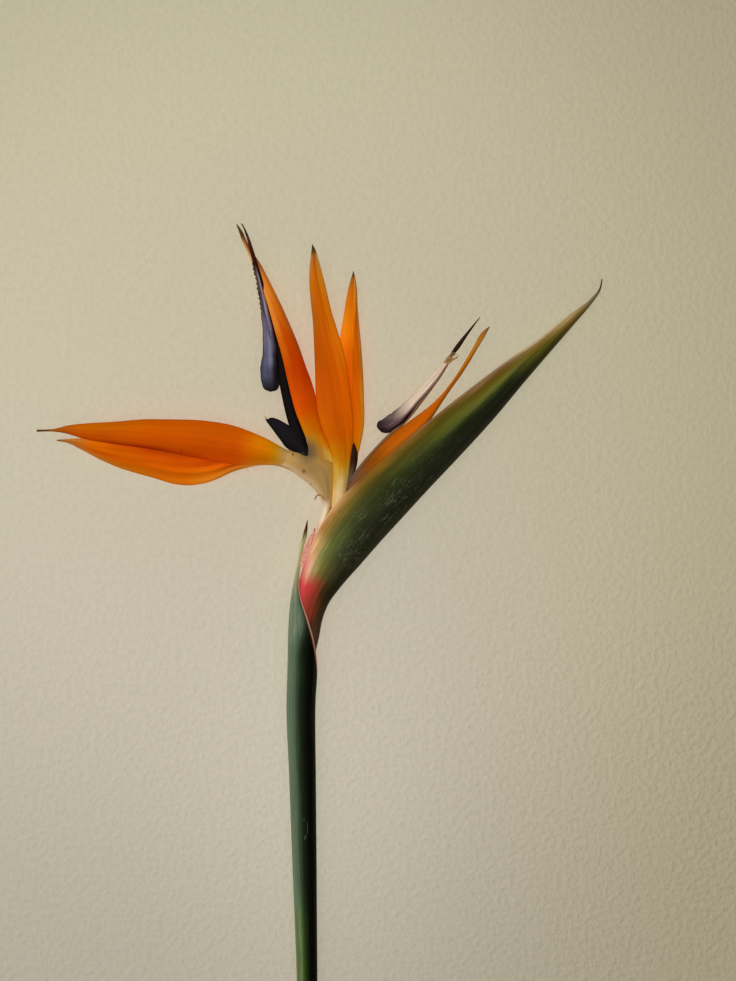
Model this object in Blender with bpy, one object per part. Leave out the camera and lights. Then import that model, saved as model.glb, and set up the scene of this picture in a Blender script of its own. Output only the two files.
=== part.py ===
"""Bird of paradise flower on a cut stem, laid on its side on a table.

The drawing is in millimetres in the plane in which the flower is symmetrical: X to the right,
Y from the cut end towards the tips, Z up from the table. The drawing's zero is the neck, where
the beaked spathe leaves the stem. Every piece is one closed solid of its own: a stem-like piece
is a rod, a flat sepal is a blade between two edges, and a folded piece is a trough between a
keel and a pair of margins.
"""

import bpy
import numpy as np

MM = 0.001
STEM_END_Y = -200.0          # the cut
NODE_Y = -150.0              # where the top sheath leaves the stem
NODE_SWELL = 0.3             # how much the stem thickens under it
STEM_TOP_Y = -14.4           # the stem's own top, hidden in the sheath
STEM_RADIUS = ((-200.0, 4.0), (-132.0, 4.1), (-84.0, 4.9), (-20.0, 5.8))
STEM_SWAY = ((-200.0, -3.6), (-132.0, -4.4), (-52.0, -6.2), (-20.0, -6.8), (-14.0, -6.9))
SHEATH_WALL = 0.8
SHEATH_SLACK = 0.4           # room between stem and sheath past the clearance
GAP = 0.3                    # clearance between neighbouring pieces
SPATHE_HALF_WIDTH = 8.0      # half its thickness, which is what it lies on
SPATHE_WALL = 1.2
TABLE_Z = -8.2               # the table below the plane of symmetry
BOX_MIDDLE = (1.2, -14.8)    # middle of the whole flower's outline in the drawing


def knots(table, at):
    """Value read from (position, value) pairs, straight between them."""
    place, value = np.array(table, float).T
    return np.interp(at, place, value)


def along(points, t):
    """Smooth curve through the points, read at t = 0..1 of its length: cubic pieces with three-point slopes."""
    points = np.array(points, float)
    u = np.concatenate([[0.0], np.cumsum(np.linalg.norm(np.diff(points, axis=0), axis=1))])
    u /= u[-1]
    slope = np.gradient(points, u, axis=0)
    i = np.clip(np.searchsorted(u, t, side="right") - 1, 0, len(u) - 2)
    step = (u[i + 1] - u[i])[:, None]
    f = (t - u[i])[:, None] / step
    start = (2 * f**3 - 3 * f**2 + 1) * points[i] + (f**3 - 2 * f**2 + f) * step * slope[i]
    end = (3 * f**2 - 2 * f**3) * points[i + 1] + (f**3 - f**2) * step * slope[i + 1]
    return start + end


def grid_faces(rows, cols, start=0, flip=False):
    """Quads over a grid of rows x cols points numbered row by row from start."""
    corner = start + np.arange(rows * cols).reshape(rows, cols)
    quads = np.stack([corner[:-1, :-1], corner[:-1, 1:], corner[1:, 1:], corner[1:, :-1]], axis=-1)
    quads = quads.reshape(-1, 4)
    return quads[:, ::-1] if flip else quads


def mesh_object(name, points, faces, colour, roughness):
    """One named object of millimetre points, with outward faces, smooth shading and its own material."""
    mesh = bpy.data.meshes.new(name)
    mesh.from_pydata((points * MM).tolist(), [], [list(map(int, face)) for face in faces])
    mesh.update()
    centred = points - points.mean(axis=0)
    mesh.calc_loop_triangles()
    corners = centred[[list(tri.vertices) for tri in mesh.loop_triangles]]
    if np.linalg.det(corners).sum() < 0:
        mesh.flip_normals()
    mesh.shade_smooth()
    material = bpy.data.materials.new(name)
    material.use_nodes = True
    shader = material.node_tree.nodes["Principled BSDF"]
    shader.inputs["Base Color"].default_value = (*colour, 1.0)
    shader.inputs["Roughness"].default_value = roughness
    shader.inputs["Metallic"].default_value = 0.0
    mesh.materials.append(material)
    made = bpy.data.objects.new(name, mesh)
    bpy.context.scene.collection.objects.link(made)
    return made


def two_sheets(name, outer, inner, colour, roughness):
    """Closed solid between an outer and an inner sheet of rows x cols points."""
    rows, cols = outer.shape[:2]
    count = rows * cols
    points = np.concatenate([outer.reshape(-1, 3), inner.reshape(-1, 3)])
    grid = np.arange(count).reshape(rows, cols)
    rim = np.concatenate([grid[0, :-1], grid[:-1, -1], grid[-1, :0:-1], grid[:0:-1, 0]])
    following = np.roll(rim, -1)
    sides = np.stack([following, rim, rim + count, following + count], axis=1)
    faces = [*grid_faces(rows, cols), *grid_faces(rows, cols, count, flip=True), *sides]
    return mesh_object(name, points, faces, colour, roughness)


def trough(name, keel, margin, half_width, mouth, wall, colour, roughness, centre_z=0.0, rows=24, cols=11):
    """Folded sheet. At each station the section is part of an ellipse: it starts at the keel, bulges
    half_width to each side and ends at the two margins, mouth degrees round from the keel.
    half_width, mouth, wall and centre_z may each be (station, value) pairs."""
    t = np.linspace(0.0, 1.0, rows)
    low, high = along(keel, t)[:, None], along(margin, t)[:, None]
    width, end, thick, middle = (
        (knots(value, t) if np.ndim(value) else np.full(rows, float(value)))[:, None]
        for value in (half_width, mouth, wall, centre_z)
    )
    q = np.linspace(-1.0, 1.0, 2 * cols - 1)[None, :]
    angle = np.radians(end) * np.abs(q)
    across = ((1 - np.cos(angle)) / (1 - np.cos(np.radians(end))))[..., None]
    depth = np.linalg.norm(high - low, axis=-1, keepdims=True)
    inset = np.minimum(thick[..., None] / depth, 0.45)

    def sheet(shrink, across):
        flat = low + (high - low) * across
        z = middle + np.sign(q) * (width - shrink) * np.sin(angle)
        return np.concatenate([flat, z[..., None]], axis=-1)

    return two_sheets(
        name, sheet(0.0, across), sheet(thick, inset + (1 - inset) * across), colour, roughness
    )


def blade(name, edge_a, edge_b, height, crown, thick, colour, roughness, rows=24, cols=7):
    """Thin leaf between two edges. Its height above the plane is given along its length at each edge,
    and crown lifts its middle by crown * (1 - s squared)."""
    t = np.linspace(0.0, 1.0, rows)
    s = np.linspace(-1.0, 1.0, cols)[None, :, None]
    a, b = along(edge_a, t)[:, None], along(edge_b, t)[:, None]
    flat = a * (1 - s) / 2 + b * (1 + s) / 2
    heights_a, heights_b = (knots(table, t)[:, None, None] for table in height)
    z = heights_a * (1 - s) / 2 + heights_b * (1 + s) / 2
    z = z + knots(crown, t)[:, None, None] * (1 - s**2)
    half = thick / 2 * (1 - 0.6 * s**2)
    outer = np.concatenate([flat, z + half], axis=-1)
    inner = np.concatenate([flat, z - half], axis=-1)
    return two_sheets(name, outer, inner, colour, roughness)


def rod(name, path, radius, colour, roughness, flatness=1.0, rows=20, sides=12, stations=None):
    """Round piece along a path of (x, y, z) points. radius is (station, value) pairs; flatness is its
    height over its width. The rings stand evenly unless their stations are given."""
    t = np.linspace(0.0, 1.0, rows) if stations is None else stations
    centre = along(path, t)
    tangent = np.gradient(centre, axis=0)
    tangent /= np.linalg.norm(tangent, axis=1, keepdims=True)
    side = np.cross([0.0, 0.0, 1.0], tangent)
    side /= np.linalg.norm(side, axis=1, keepdims=True)
    up = np.cross(tangent, side)
    turn = np.linspace(0.0, 2 * np.pi, sides, endpoint=False)[None, :, None]
    r = knots(radius, t)[:, None, None]
    ring = centre[:, None] + r * (side[:, None] * np.cos(turn) + flatness * up[:, None] * np.sin(turn))
    points = ring.reshape(-1, 3)
    grid = np.arange(len(t) * sides).reshape(len(t), sides)
    turned = np.roll(grid, -1, axis=1)
    sides_quads = np.stack([grid[:-1], turned[:-1], turned[1:], grid[1:]], axis=-1).reshape(-1, 4)
    faces = [*sides_quads, grid[0, ::-1], grid[-1]]
    return mesh_object(name, points, faces, colour, roughness)


def joined(name, first, second):
    """Two overlapping pieces grown as one: the second becomes part of the first."""
    union = first.modifiers.new("grown_together", "BOOLEAN")
    union.operation = "UNION"
    union.object = second
    bpy.context.view_layer.update()
    whole = bpy.data.meshes.new_from_object(first.evaluated_get(bpy.context.evaluated_depsgraph_get()))
    first.modifiers.clear()
    first.data = whole
    first.name = name
    bpy.data.objects.remove(second)
    return first


GREEN = (0.035, 0.065, 0.02)
STEM_GREEN = (0.03, 0.06, 0.025)
SHEATH_GREEN = (0.05, 0.08, 0.045)
ORANGE = (0.75, 0.19, 0.004)
CREAM = (0.60, 0.42, 0.20)
SLATE = (0.05, 0.05, 0.085)
INK = (0.012, 0.006, 0.012)
PINK = (0.55, 0.25, 0.17)
STRAW = (0.35, 0.20, 0.07)


def stem_height(y):
    """Height of the stem's axis: level with the spathe at the neck, resting on the table at the cut."""
    end = TABLE_Z + knots(STEM_RADIUS, STEM_END_Y) + 0.02
    return end * np.clip(y / STEM_END_Y, 0.0, 1.0)


def stem():
    """Solid stem from the cut to the neck, narrower where the sheath wraps it, with a slight ring below that."""
    below = np.array([STEM_END_Y, -190.0, -170.0, NODE_Y - 8, NODE_Y - 4, NODE_Y - 2.2, NODE_Y - 0.8])
    y = np.concatenate([below, np.linspace(NODE_Y - 0.4, STEM_TOP_Y, 15)])
    radius = knots(STEM_RADIUS, y)
    radius[4:6] += NODE_SWELL
    radius[7:] -= SHEATH_WALL + GAP + SHEATH_SLACK
    path = np.stack([knots(STEM_SWAY, y), y, stem_height(y)], axis=1)
    station = (y - y[0]) / (y[-1] - y[0])
    return rod("stem", path, list(zip(station, radius)), STEM_GREEN, 0.5, sides=16, stations=station)


def stem_sheath():
    """Leaf sheath wrapped round the stem from its node to the neck, where it opens on the spathe's
    side and runs out to a pointed tip."""
    y = np.array([NODE_Y, -132.0, -84.0, -52.0, -20.0])
    sway, radius = knots(STEM_SWAY, y), knots(STEM_RADIUS, y)
    back = [*zip(sway - radius, y), (-12.0, 4.0), (-11.2, 18.0), (-10.0, 26.0), (-8.4, 34.0), (-6.6, 44.0),
            (-4.5, 51.6)]
    lips = [*zip(sway + radius, y), (-0.1, -5.0), (-4.0, 13.0), (-7.3, 24.4), (-7.3, 32.0), (-5.2, 43.0),
            (-4.2, 51.7)]
    half_width = ((0.0, radius[0]), (0.33, radius[2]), (0.65, radius[4]), (0.714, 6.2), (0.76, 6.9), (0.803, 7.3),
                  (0.86, 5.6), (0.9, 3.4), (0.95, 1.8), (1.0, 0.3))
    mouth = ((0.0, 178.0), (0.68, 178.0), (0.715, 172.0), (0.76, 125.0), (0.803, 92.0), (1.0, 92.0))
    rest = ((0.0, stem_height(NODE_Y)), (0.72, 0.0), (1.0, 0.0))
    wall = ((0.0, SHEATH_WALL), (0.86, SHEATH_WALL), (0.94, 0.5), (1.0, 0.15))
    return trough("stem_sheath", back, lips, half_width, mouth, wall, SHEATH_GREEN, 0.5, rest, rows=40, cols=7)


def spathe():
    """Boat-shaped beak: a keel below, two margins that meet towards the hooked tip, and an open mouth
    that holds the flowers."""
    keel = [(-2.6, -13.9), (-1.9, -6.0), (0.9, 8.0), (4.6, 19.0), (11.4, 27.8), (20.0, 37.6), (31.0, 50.0),
            (43.2, 63.2), (56.8, 77.6), (70.0, 92.0), (83.0, 107.5), (94.4, 120.8), (104.0, 131.9),
            (110.4, 139.9), (113.6, 144.4), (114.4, 148.6)]
    margin = [(-10.9, -13.9), (-10.9, -2.0), (-9.8, 13.0), (-7.4, 27.5), (-2.9, 41.3), (4.6, 53.8), (15.2, 65.0),
              (28.4, 78.0), (42.5, 90.1), (57.8, 102.3), (73.8, 114.6), (89.4, 125.2), (100.9, 134.6),
              (109.6, 141.2), (112.9, 144.8), (113.8, 148.6)]
    half_width = ((0.0, 4.1), (0.08, 4.5), (0.18, 6.2), (0.3, 7.8), (0.36, SPATHE_HALF_WIDTH),
                  (0.47, SPATHE_HALF_WIDTH), (0.56, 7.3), (0.65, 6.3), (0.74, 4.9), (0.83, 3.2), (0.9, 1.9),
                  (0.95, 0.8), (1.0, 0.35))
    mouth = ((0.0, 172.0), (0.2, 165.0), (0.3, 145.0), (0.56, 142.0), (0.7, 160.0), (1.0, 170.0))
    droop = ((0.0, 0.0), (0.47, -0.1), (0.56, -0.8), (0.65, -1.8), (0.74, -3.1), (0.85, -3.9), (1.0, -4.2))
    wall = ((0.0, 2.2), (0.12, 2.0), (0.25, SPATHE_WALL), (0.7, SPATHE_WALL), (0.9, 0.6), (1.0, 0.15))
    return trough("spathe", keel, margin, half_width, mouth, wall, GREEN, 0.45, droop, rows=36, cols=9)


def tube(name, path, radius, flatness):
    """Pale fleshy foot of one flower, which rises out of the spathe and carries its sepals."""
    return rod(name, path, radius, CREAM, 0.5, flatness, rows=12, sides=14)


def flower_1():
    """Outer flower: two sepals thrown to the left, one upright folded sepal, the tongue and the hood petal."""
    tube("flower_1_tube", [(5.2, 43.0, 0.0), (4.4, 50.0, 0.0), (4.2, 57.0, 0.0), (2.0, 64.0, 0.0), (-1.0, 69.8, 0.0)],
         ((0.0, 1.9), (0.5, 2.1), (0.75, 3.8), (1.0, 5.8)), 0.8)
    blade("flower_1_sepal_front",
          [(-6.4, 68.5), (-13.2, 73.2), (-31.2, 74.4), (-51.2, 77.2), (-67.2, 79.6), (-83.2, 82.8), (-103.2, 86.3),
           (-112.0, 87.4)],
          [(-4.8, 73.4), (-14.4, 82.0), (-31.2, 88.8), (-47.2, 91.6), (-67.2, 92.8), (-88.8, 92.0), (-103.2, 89.2),
           (-112.0, 88.0)],
          (((0.0, 2.2), (0.3, 3.2), (0.7, 4.2), (1.0, 3.0)), ((0.0, 2.4), (0.3, 2.6), (0.7, 3.4), (1.0, 3.0))),
          ((0.0, 0.4), (0.4, 2.6), (1.0, 0.1)), 0.9, ORANGE, 0.45)
    blade("flower_1_sepal_rear",
          [(-6.4, 68.5), (-13.0, 72.8), (-26.8, 72.6), (-38.0, 68.8), (-52.8, 65.2), (-61.6, 66.8), (-80.8, 73.2),
           (-94.0, 79.6), (-104.4, 83.8)],
          [(-4.8, 73.4), (-14.4, 79.0), (-31.2, 82.0), (-52.0, 84.0), (-72.0, 84.6), (-88.0, 85.0), (-104.4, 84.4)],
          (((0.0, -2.2), (0.3, -4.8), (0.5, -7.6), (0.75, -7.6), (1.0, -5.2)),
           ((0.0, -2.4), (0.3, -3.4), (0.5, -3.2), (1.0, -5.2))),
          ((0.0, -0.4), (0.5, -0.6), (1.0, 0.0)), 0.9, ORANGE, 0.45)
    trough("flower_1_sepal_upright",
           [(4.7, 73.5), (5.4, 78.0), (2.4, 87.0), (-0.8, 101.6), (-5.6, 114.4), (-10.8, 127.2), (-15.6, 140.0),
            (-21.2, 152.8), (-27.4, 160.6), (-30.0, 168.0), (-32.2, 170.4)],
           [(-1.6, 70.3), (-2.8, 76.5), (-5.7, 88.8), (-10.0, 101.6), (-13.9, 114.4), (-17.5, 127.2), (-20.7, 140.0),
            (-24.6, 152.8), (-29.4, 162.4), (-31.6, 167.0), (-32.6, 170.2)],
           ((0.0, 3.4), (0.3, 4.4), (0.6, 3.2), (0.75, 1.8), (0.85, 1.1), (1.0, 0.4)), 118.0,
           ((0.0, 0.9), (0.7, 0.8), (1.0, 0.2)), ORANGE, 0.45,
           ((0.0, 0.0), (0.5, -0.3), (0.7, -1.6), (0.85, -2.4), (1.0, -2.8)), rows=28, cols=6)
    shaft = rod("flower_1_tongue",
                [(-5.4, 78.0, 0.0), (-7.6, 84.6, 0.0), (-11.6, 95.2, 0.0), (-14.2, 108.0, 0.0), (-17.6, 122.0, 0.2),
                 (-21.6, 138.0, 0.6), (-25.0, 152.0, 1.0), (-27.4, 160.6, 1.3), (-29.8, 168.6, 1.3)],
                ((0.0, 1.1), (0.25, 1.7), (0.5, 1.2), (0.85, 0.7), (1.0, 0.3)), INK, 0.4, 0.62, rows=24, sides=8)
    lobes = trough("flower_1_lobes",
                   [(-16.4, 103.4), (-15.4, 110.0), (-16.8, 118.0), (-19.2, 128.6), (-22.4, 141.0), (-25.2, 152.0)],
                   [(-20.6, 103.2), (-22.8, 108.6), (-22.1, 117.6), (-22.4, 130.4), (-24.6, 143.2), (-26.2, 152.6)],
                   ((0.0, 1.4), (0.3, 2.0), (0.7, 1.4), (1.0, 0.6)), 125.0, 0.45, SLATE, 0.4, 0.2, rows=16, cols=5)
    joined("flower_1_tongue", shaft, lobes)
    trough("flower_1_hood_petal",
           [(-5.4, 69.6), (-7.2, 75.6), (-10.8, 79.2), (-13.6, 82.4), (-16.0, 85.6), (-20.0, 90.4), (-21.2, 92.6)],
           [(-3.2, 71.2), (-4.6, 77.0), (-6.4, 81.4), (-9.0, 85.5), (-12.2, 89.6), (-15.2, 92.0), (-19.6, 92.4), (-21.0, 93.0)],
           ((0.0, 0.9), (0.25, 1.4), (0.5, 2.0), (1.0, 0.3)), 118.0, ((0.0, 0.3), (0.8, 0.3), (1.0, 0.12)), INK, 0.45, rows=14,
           cols=5)
    rod("flower_1_stigma", [(-28.5, 165.4, 2.3), (-28.3, 168.0, 2.4), (-28.4, 170.4, 2.4)],
        ((0.0, 0.25), (1.0, 0.15)), INK, 0.5, rows=5, sides=6)


def flower_2():
    """Inner flower: two sepals upright, the third along the spathe's mouth under the open tongue."""
    tube("flower_2_tube", [(12.8, 42.0, 0.0), (10.6, 50.0, 0.0), (9.8, 57.0, 0.0), (9.6, 63.0, 0.0)],
         ((0.0, 2.2), (0.6, 2.5), (1.0, 2.8)), 1.1)
    blade("flower_2_sepal_front",
          [(7.4, 63.6), (5.0, 77.0), (1.6, 88.0), (-1.2, 101.6), (-2.0, 114.4), (-2.8, 133.6), (-4.0, 149.0),
           (-3.2, 159.2), (-2.5, 161.6)],
          [(10.8, 63.5), (13.4, 79.0), (14.4, 92.0), (12.8, 106.0), (10.4, 117.6), (6.4, 133.6), (1.2, 152.8),
           (-0.8, 159.2), (-2.1, 161.6)],
          (((0.0, 2.0), (0.3, 3.2), (1.0, 2.4)), ((0.0, 2.0), (0.3, 2.8), (1.0, 2.4))),
          ((0.0, 0.2), (0.4, 2.4), (1.0, 0.1)), 0.9, ORANGE, 0.45)
    blade("flower_2_sepal_rear",
          [(7.8, 63.6), (6.4, 78.0), (5.6, 92.0), (6.0, 110.0), (7.6, 127.2), (9.6, 137.0), (11.8, 146.4),
           (13.4, 150.2)],
          [(11.0, 63.5), (15.2, 76.0), (18.2, 85.6), (18.6, 96.0), (18.0, 110.0), (17.0, 127.2), (16.2, 142.0),
           (13.8, 150.2)],
          (((0.0, -2.0), (0.3, -3.0), (1.0, -2.4)), ((0.0, -2.0), (0.3, -2.8), (1.0, -2.4))),
          ((0.0, -0.2), (0.4, -2.2), (1.0, -0.1)), 0.9, ORANGE, 0.45)
    trough("flower_2_sepal_low",
           [(15.4, 61.6), (24.0, 70.0), (34.0, 79.6), (44.0, 90.0), (48.8, 97.5), (52.4, 102.4), (58.8, 112.0),
            (67.0, 126.0), (68.7, 129.0)],
           [(13.0, 64.4), (20.0, 72.6), (28.0, 81.2), (37.0, 90.0), (46.0, 98.8), (51.6, 106.0), (58.0, 115.0),
            (65.0, 125.6), (68.4, 129.2)],
           ((0.0, 2.2), (0.5, 2.6), (0.8, 1.8), (1.0, 0.35)), 115.0,
           ((0.0, 0.6), (0.8, 0.6), (1.0, 0.15)), ORANGE, 0.45, ((0.0, 0.0), (1.0, 0.3)), rows=24, cols=5)
    shaft = rod("flower_2_tongue",
                [(16.4, 71.6, 0.0), (24.0, 82.2, 0.0), (31.0, 90.0, 0.3), (37.6, 96.2, 0.9), (44.0, 103.4, 1.2),
                 (50.0, 111.8, 1.4), (52.8, 116.2, 1.5)],
                ((0.0, 0.9), (0.4, 1.0), (0.9, 0.8), (1.0, 0.5)), SLATE, 0.4, 0.8, rows=18, sides=8)
    lobes = trough("flower_2_lobes",
                   [(26.6, 87.4), (30.6, 88.4), (34.8, 92.2), (38.6, 96.2), (43.7, 102.2), (48.2, 108.0),
                    (52.4, 114.4)],
                   [(23.6, 90.4), (28.8, 95.0), (33.7, 99.2), (38.7, 103.8), (43.6, 109.4), (47.6, 113.0),
                    (51.8, 116.2)],
                   ((0.0, 1.6), (0.3, 2.6), (0.7, 2.0), (1.0, 0.8)), 125.0, 0.45, PINK, 0.45, 1.2, rows=16, cols=5)
    joined("flower_2_tongue", shaft, lobes)
    blade("flower_2_hood_petal",
          [(10.6, 63.5), (12.4, 72.0), (12.9, 78.0), (13.9, 82.4)], [(11.9, 63.5), (14.6, 72.0), (15.7, 78.0), (14.2, 82.4)],
          (((0.0, 0.0), (1.0, 0.0)), ((0.0, 0.0), (1.0, 0.0))), ((0.0, 0.0), (0.5, 0.4), (1.0, 0.0)), 0.7, INK, 0.45,
          rows=8, cols=4)
    rod("flower_2_stigma", [(53.6, 118.0, 1.6), (55.6, 121.2, 1.6), (60.0, 126.6, 1.8), (64.6, 132.5, 2.0)],
        ((0.0, 0.5), (0.2, 0.9), (0.6, 0.5), (1.0, 0.2)), INK, 0.5, rows=10, sides=8)
    rod("flower_2_anthers", [(51.4, 117.6, 3.0), (52.6, 118.6, 3.3), (53.4, 120.0, 3.4)],
        ((0.0, 0.3), (1.0, 0.2)), STRAW, 0.7, rows=4, sides=6)


def small_bracts():
    """The membrane left at the foot of the mouth, and the dry curl of another on the first flower's tube."""
    blade("mouth_bract",
          [(-5.9, 37.6), (-4.4, 42.0), (-2.4, 46.5), (-1.5, 48.7)], [(-4.4, 36.2), (-1.6, 41.0), (-0.8, 45.5), (-1.1, 48.7)],
          (((0.0, 1.2), (1.0, 1.4)), ((0.0, 1.0), (1.0, 1.4))), ((0.0, 0.2), (1.0, 0.0)), 0.5, PINK, 0.6, rows=8, cols=4)
    rod("dry_bract", [(-0.4, 60.6, 3.2), (-1.4, 62.2, 3.7), (-0.6, 63.8, 4.3), (0.8, 63.6, 4.6), (1.0, 62.6, 4.8)],
        ((0.0, 0.3), (0.5, 0.35), (1.0, 0.2)), STRAW, 0.8, rows=8, sides=6)


def lay_on_table():
    """Every piece follows one empty, which puts the zero on the table under the middle of the flower."""
    pieces = [item for item in bpy.context.scene.objects if item.type == "MESH"]
    flower = bpy.data.objects.new("flower", None)
    bpy.context.scene.collection.objects.link(flower)
    flower.location = (-BOX_MIDDLE[0] * MM, -BOX_MIDDLE[1] * MM, -TABLE_Z * MM)
    for piece in pieces:
        piece.parent = flower


def main():
    for item in list(bpy.data.objects):
        bpy.data.objects.remove(item)
    stem()
    stem_sheath()
    spathe()
    flower_1()
    flower_2()
    small_bracts()
    lay_on_table()


main()
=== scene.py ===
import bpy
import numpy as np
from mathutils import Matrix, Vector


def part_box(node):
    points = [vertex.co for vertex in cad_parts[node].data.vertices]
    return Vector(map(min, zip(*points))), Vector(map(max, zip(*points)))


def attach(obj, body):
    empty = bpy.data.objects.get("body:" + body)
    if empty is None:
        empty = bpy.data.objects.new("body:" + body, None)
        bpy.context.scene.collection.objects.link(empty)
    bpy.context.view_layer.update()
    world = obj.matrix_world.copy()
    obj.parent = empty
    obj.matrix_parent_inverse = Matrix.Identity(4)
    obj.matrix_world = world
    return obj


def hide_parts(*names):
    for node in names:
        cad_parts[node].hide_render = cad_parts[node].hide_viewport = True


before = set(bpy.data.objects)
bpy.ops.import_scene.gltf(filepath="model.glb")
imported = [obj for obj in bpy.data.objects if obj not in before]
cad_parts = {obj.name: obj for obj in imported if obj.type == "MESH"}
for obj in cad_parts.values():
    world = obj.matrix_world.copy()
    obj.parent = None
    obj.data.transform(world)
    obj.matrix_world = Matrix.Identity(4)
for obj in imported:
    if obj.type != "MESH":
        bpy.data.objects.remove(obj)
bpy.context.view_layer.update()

# Bird of paradise flower, laid on its side on a pale table and seen from straight above.
# Pieces are drawn in millimetres in the plane in which the flower is symmetrical: X to the right,
# Y from the cut end to the tips, Z up, with zero at the neck, where the spathe leaves the stem.

MM = 0.001
# the zero of the drawing, from where the solid pieces lie: the front sepal's tip, the cut and the table
SEPAL_TIP_X, CUT_Y, TABLE_Z = -112.0, -200.0, -8.2
ZERO = np.array([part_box("flower_1_sepal_front")[0].x / MM - SEPAL_TIP_X,
                 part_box("stem")[0].y / MM - CUT_Y, -TABLE_Z])
FINE_ROWS, FINE_COLS = 200, 41


# ---------------------------------------------------------------- curves and sheets

def knots(table, at):
    """Value read from (position, value) pairs, straight between them."""
    place, value = np.array(table, float).T
    return np.interp(at, place, value)


def soft_knots(table, at):
    """Value read from (position, value) pairs on a smooth curve: the straight reading, averaged over a
    short stretch either side with a rounded weight."""
    table = ((0.0, table), (1.0, table)) if np.ndim(table) == 0 else table
    shift = np.linspace(-0.05, 0.05, 9)
    weight = 1 - (shift / 0.06) ** 2
    near_end = np.minimum(np.minimum(at, 1 - at) / 0.05, 1)
    reads = [knots(table, at + move * near_end) for move in shift]
    return np.tensordot(weight / weight.sum(), reads, 1)


def along(points, t):
    """Smooth curve through the points, read at t = 0..1 of its length: cubic pieces whose slopes are
    the three-point slopes at the points."""
    points = np.array(points, float)
    u = np.concatenate([[0.0], np.cumsum(np.linalg.norm(np.diff(points, axis=0), axis=1))])
    u /= u[-1]
    slope = np.gradient(points, u, axis=0)
    i = np.clip(np.searchsorted(u, t, side="right") - 1, 0, len(u) - 2)
    step = (u[i + 1] - u[i])[:, None]
    f = (t - u[i])[:, None] / step
    start = (2 * f**3 - 3 * f**2 + 1) * points[i] + (f**3 - 2 * f**2 + f) * step * slope[i]
    end = (3 * f**2 - 2 * f**3) * points[i + 1] + (f**3 - f**2) * step * slope[i + 1]
    return start + end


def rise(start, end, x):
    """Smooth step: 0 up to start, 1 from end, 3 f squared - 2 f cubed between."""
    f = np.clip((x - start) / (end - start), 0.0, 1.0)
    return f * f * (3 - 2 * f)


def waves(x, seed, count=5):
    """Uneven ripple between about -1 and 1: a sum of sines of rising pitch and seeded phases."""
    draw = np.random.default_rng(seed)
    pitch = (1 + np.arange(count) * 0.7) * (1 + 0.2 * draw.random(count))
    phase = draw.random(count) * 2 * np.pi
    return sum(np.sin(x * p + a) / (k + 1) for k, (p, a) in enumerate(zip(pitch, phase))) / 1.6


def ripple(depth, across, lengthwise, seed):
    """Relief of the given depth: waves that run obliquely, faster or slower across and along."""
    return lambda t, q: depth * waves(q * across + t * lengthwise, seed)


def grid_quads(grid):
    """Quads between neighbouring numbers of a grid of points."""
    return np.stack([grid[:-1, :-1], grid[:-1, 1:], grid[1:, 1:], grid[1:, :-1]], axis=-1).reshape(-1, 4)


class Shell:
    """Points, faces, leaf coordinates and marks of one closed surface, before it becomes a piece:
    quads, and the many-sided caps of a rod. The marks are named numbers from 0 to 1 for each point,
    which the finishes read."""

    def __init__(self, points, quads, leaf, marks, caps=()):
        turn = -1 if self.inside_out(points, quads) else 1
        self.points, self.leaf, self.marks = points, leaf, marks
        self.faces = [faces[:, ::turn] for faces in (quads, caps) if len(faces)]

    @staticmethod
    def inside_out(points, quads):
        """True where the triple products of the quads' halves, seen from the middle, sum below zero."""
        halves = np.concatenate([quads[:, [0, 1, 2]], quads[:, [0, 2, 3]]])
        a, b, c = np.moveaxis((points - points.mean(axis=0))[halves], 1, 0)
        return (a * np.cross(b, c)).sum() < 0


def two_sheets(outer, inner, across, marks):
    """Closed shell between an outer and an inner sheet of rows x cols points, joined round their rim.
    The leaf coordinates are the place across the sheet and the place along it, 0..1; inside is 1 on
    the inner sheet."""
    rows, cols = outer.shape[:2]
    count = rows * cols
    points = np.concatenate([outer.reshape(-1, 3), inner.reshape(-1, 3)])
    grid = np.arange(count).reshape(rows, cols)
    rim = np.concatenate([grid[0, :-1], grid[:-1, -1], grid[-1, :0:-1], grid[:0:-1, 0]])
    following = np.roll(rim, -1)
    sides = np.stack([following, rim, rim + count, following + count], axis=1)
    sheet = grid_quads(grid)
    far = np.repeat(np.linspace(0, 1, rows), cols)
    leaf = np.tile(np.stack([across.ravel(), far], axis=1), (2, 1))
    named = {mark: np.tile(value.ravel(), 2) for mark, value in marks.items()}
    named["inside"] = np.repeat([0.0, 1.0], count)
    return Shell(points, np.concatenate([sheet, sheet[:, ::-1] + count, sides]), leaf, named)


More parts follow.
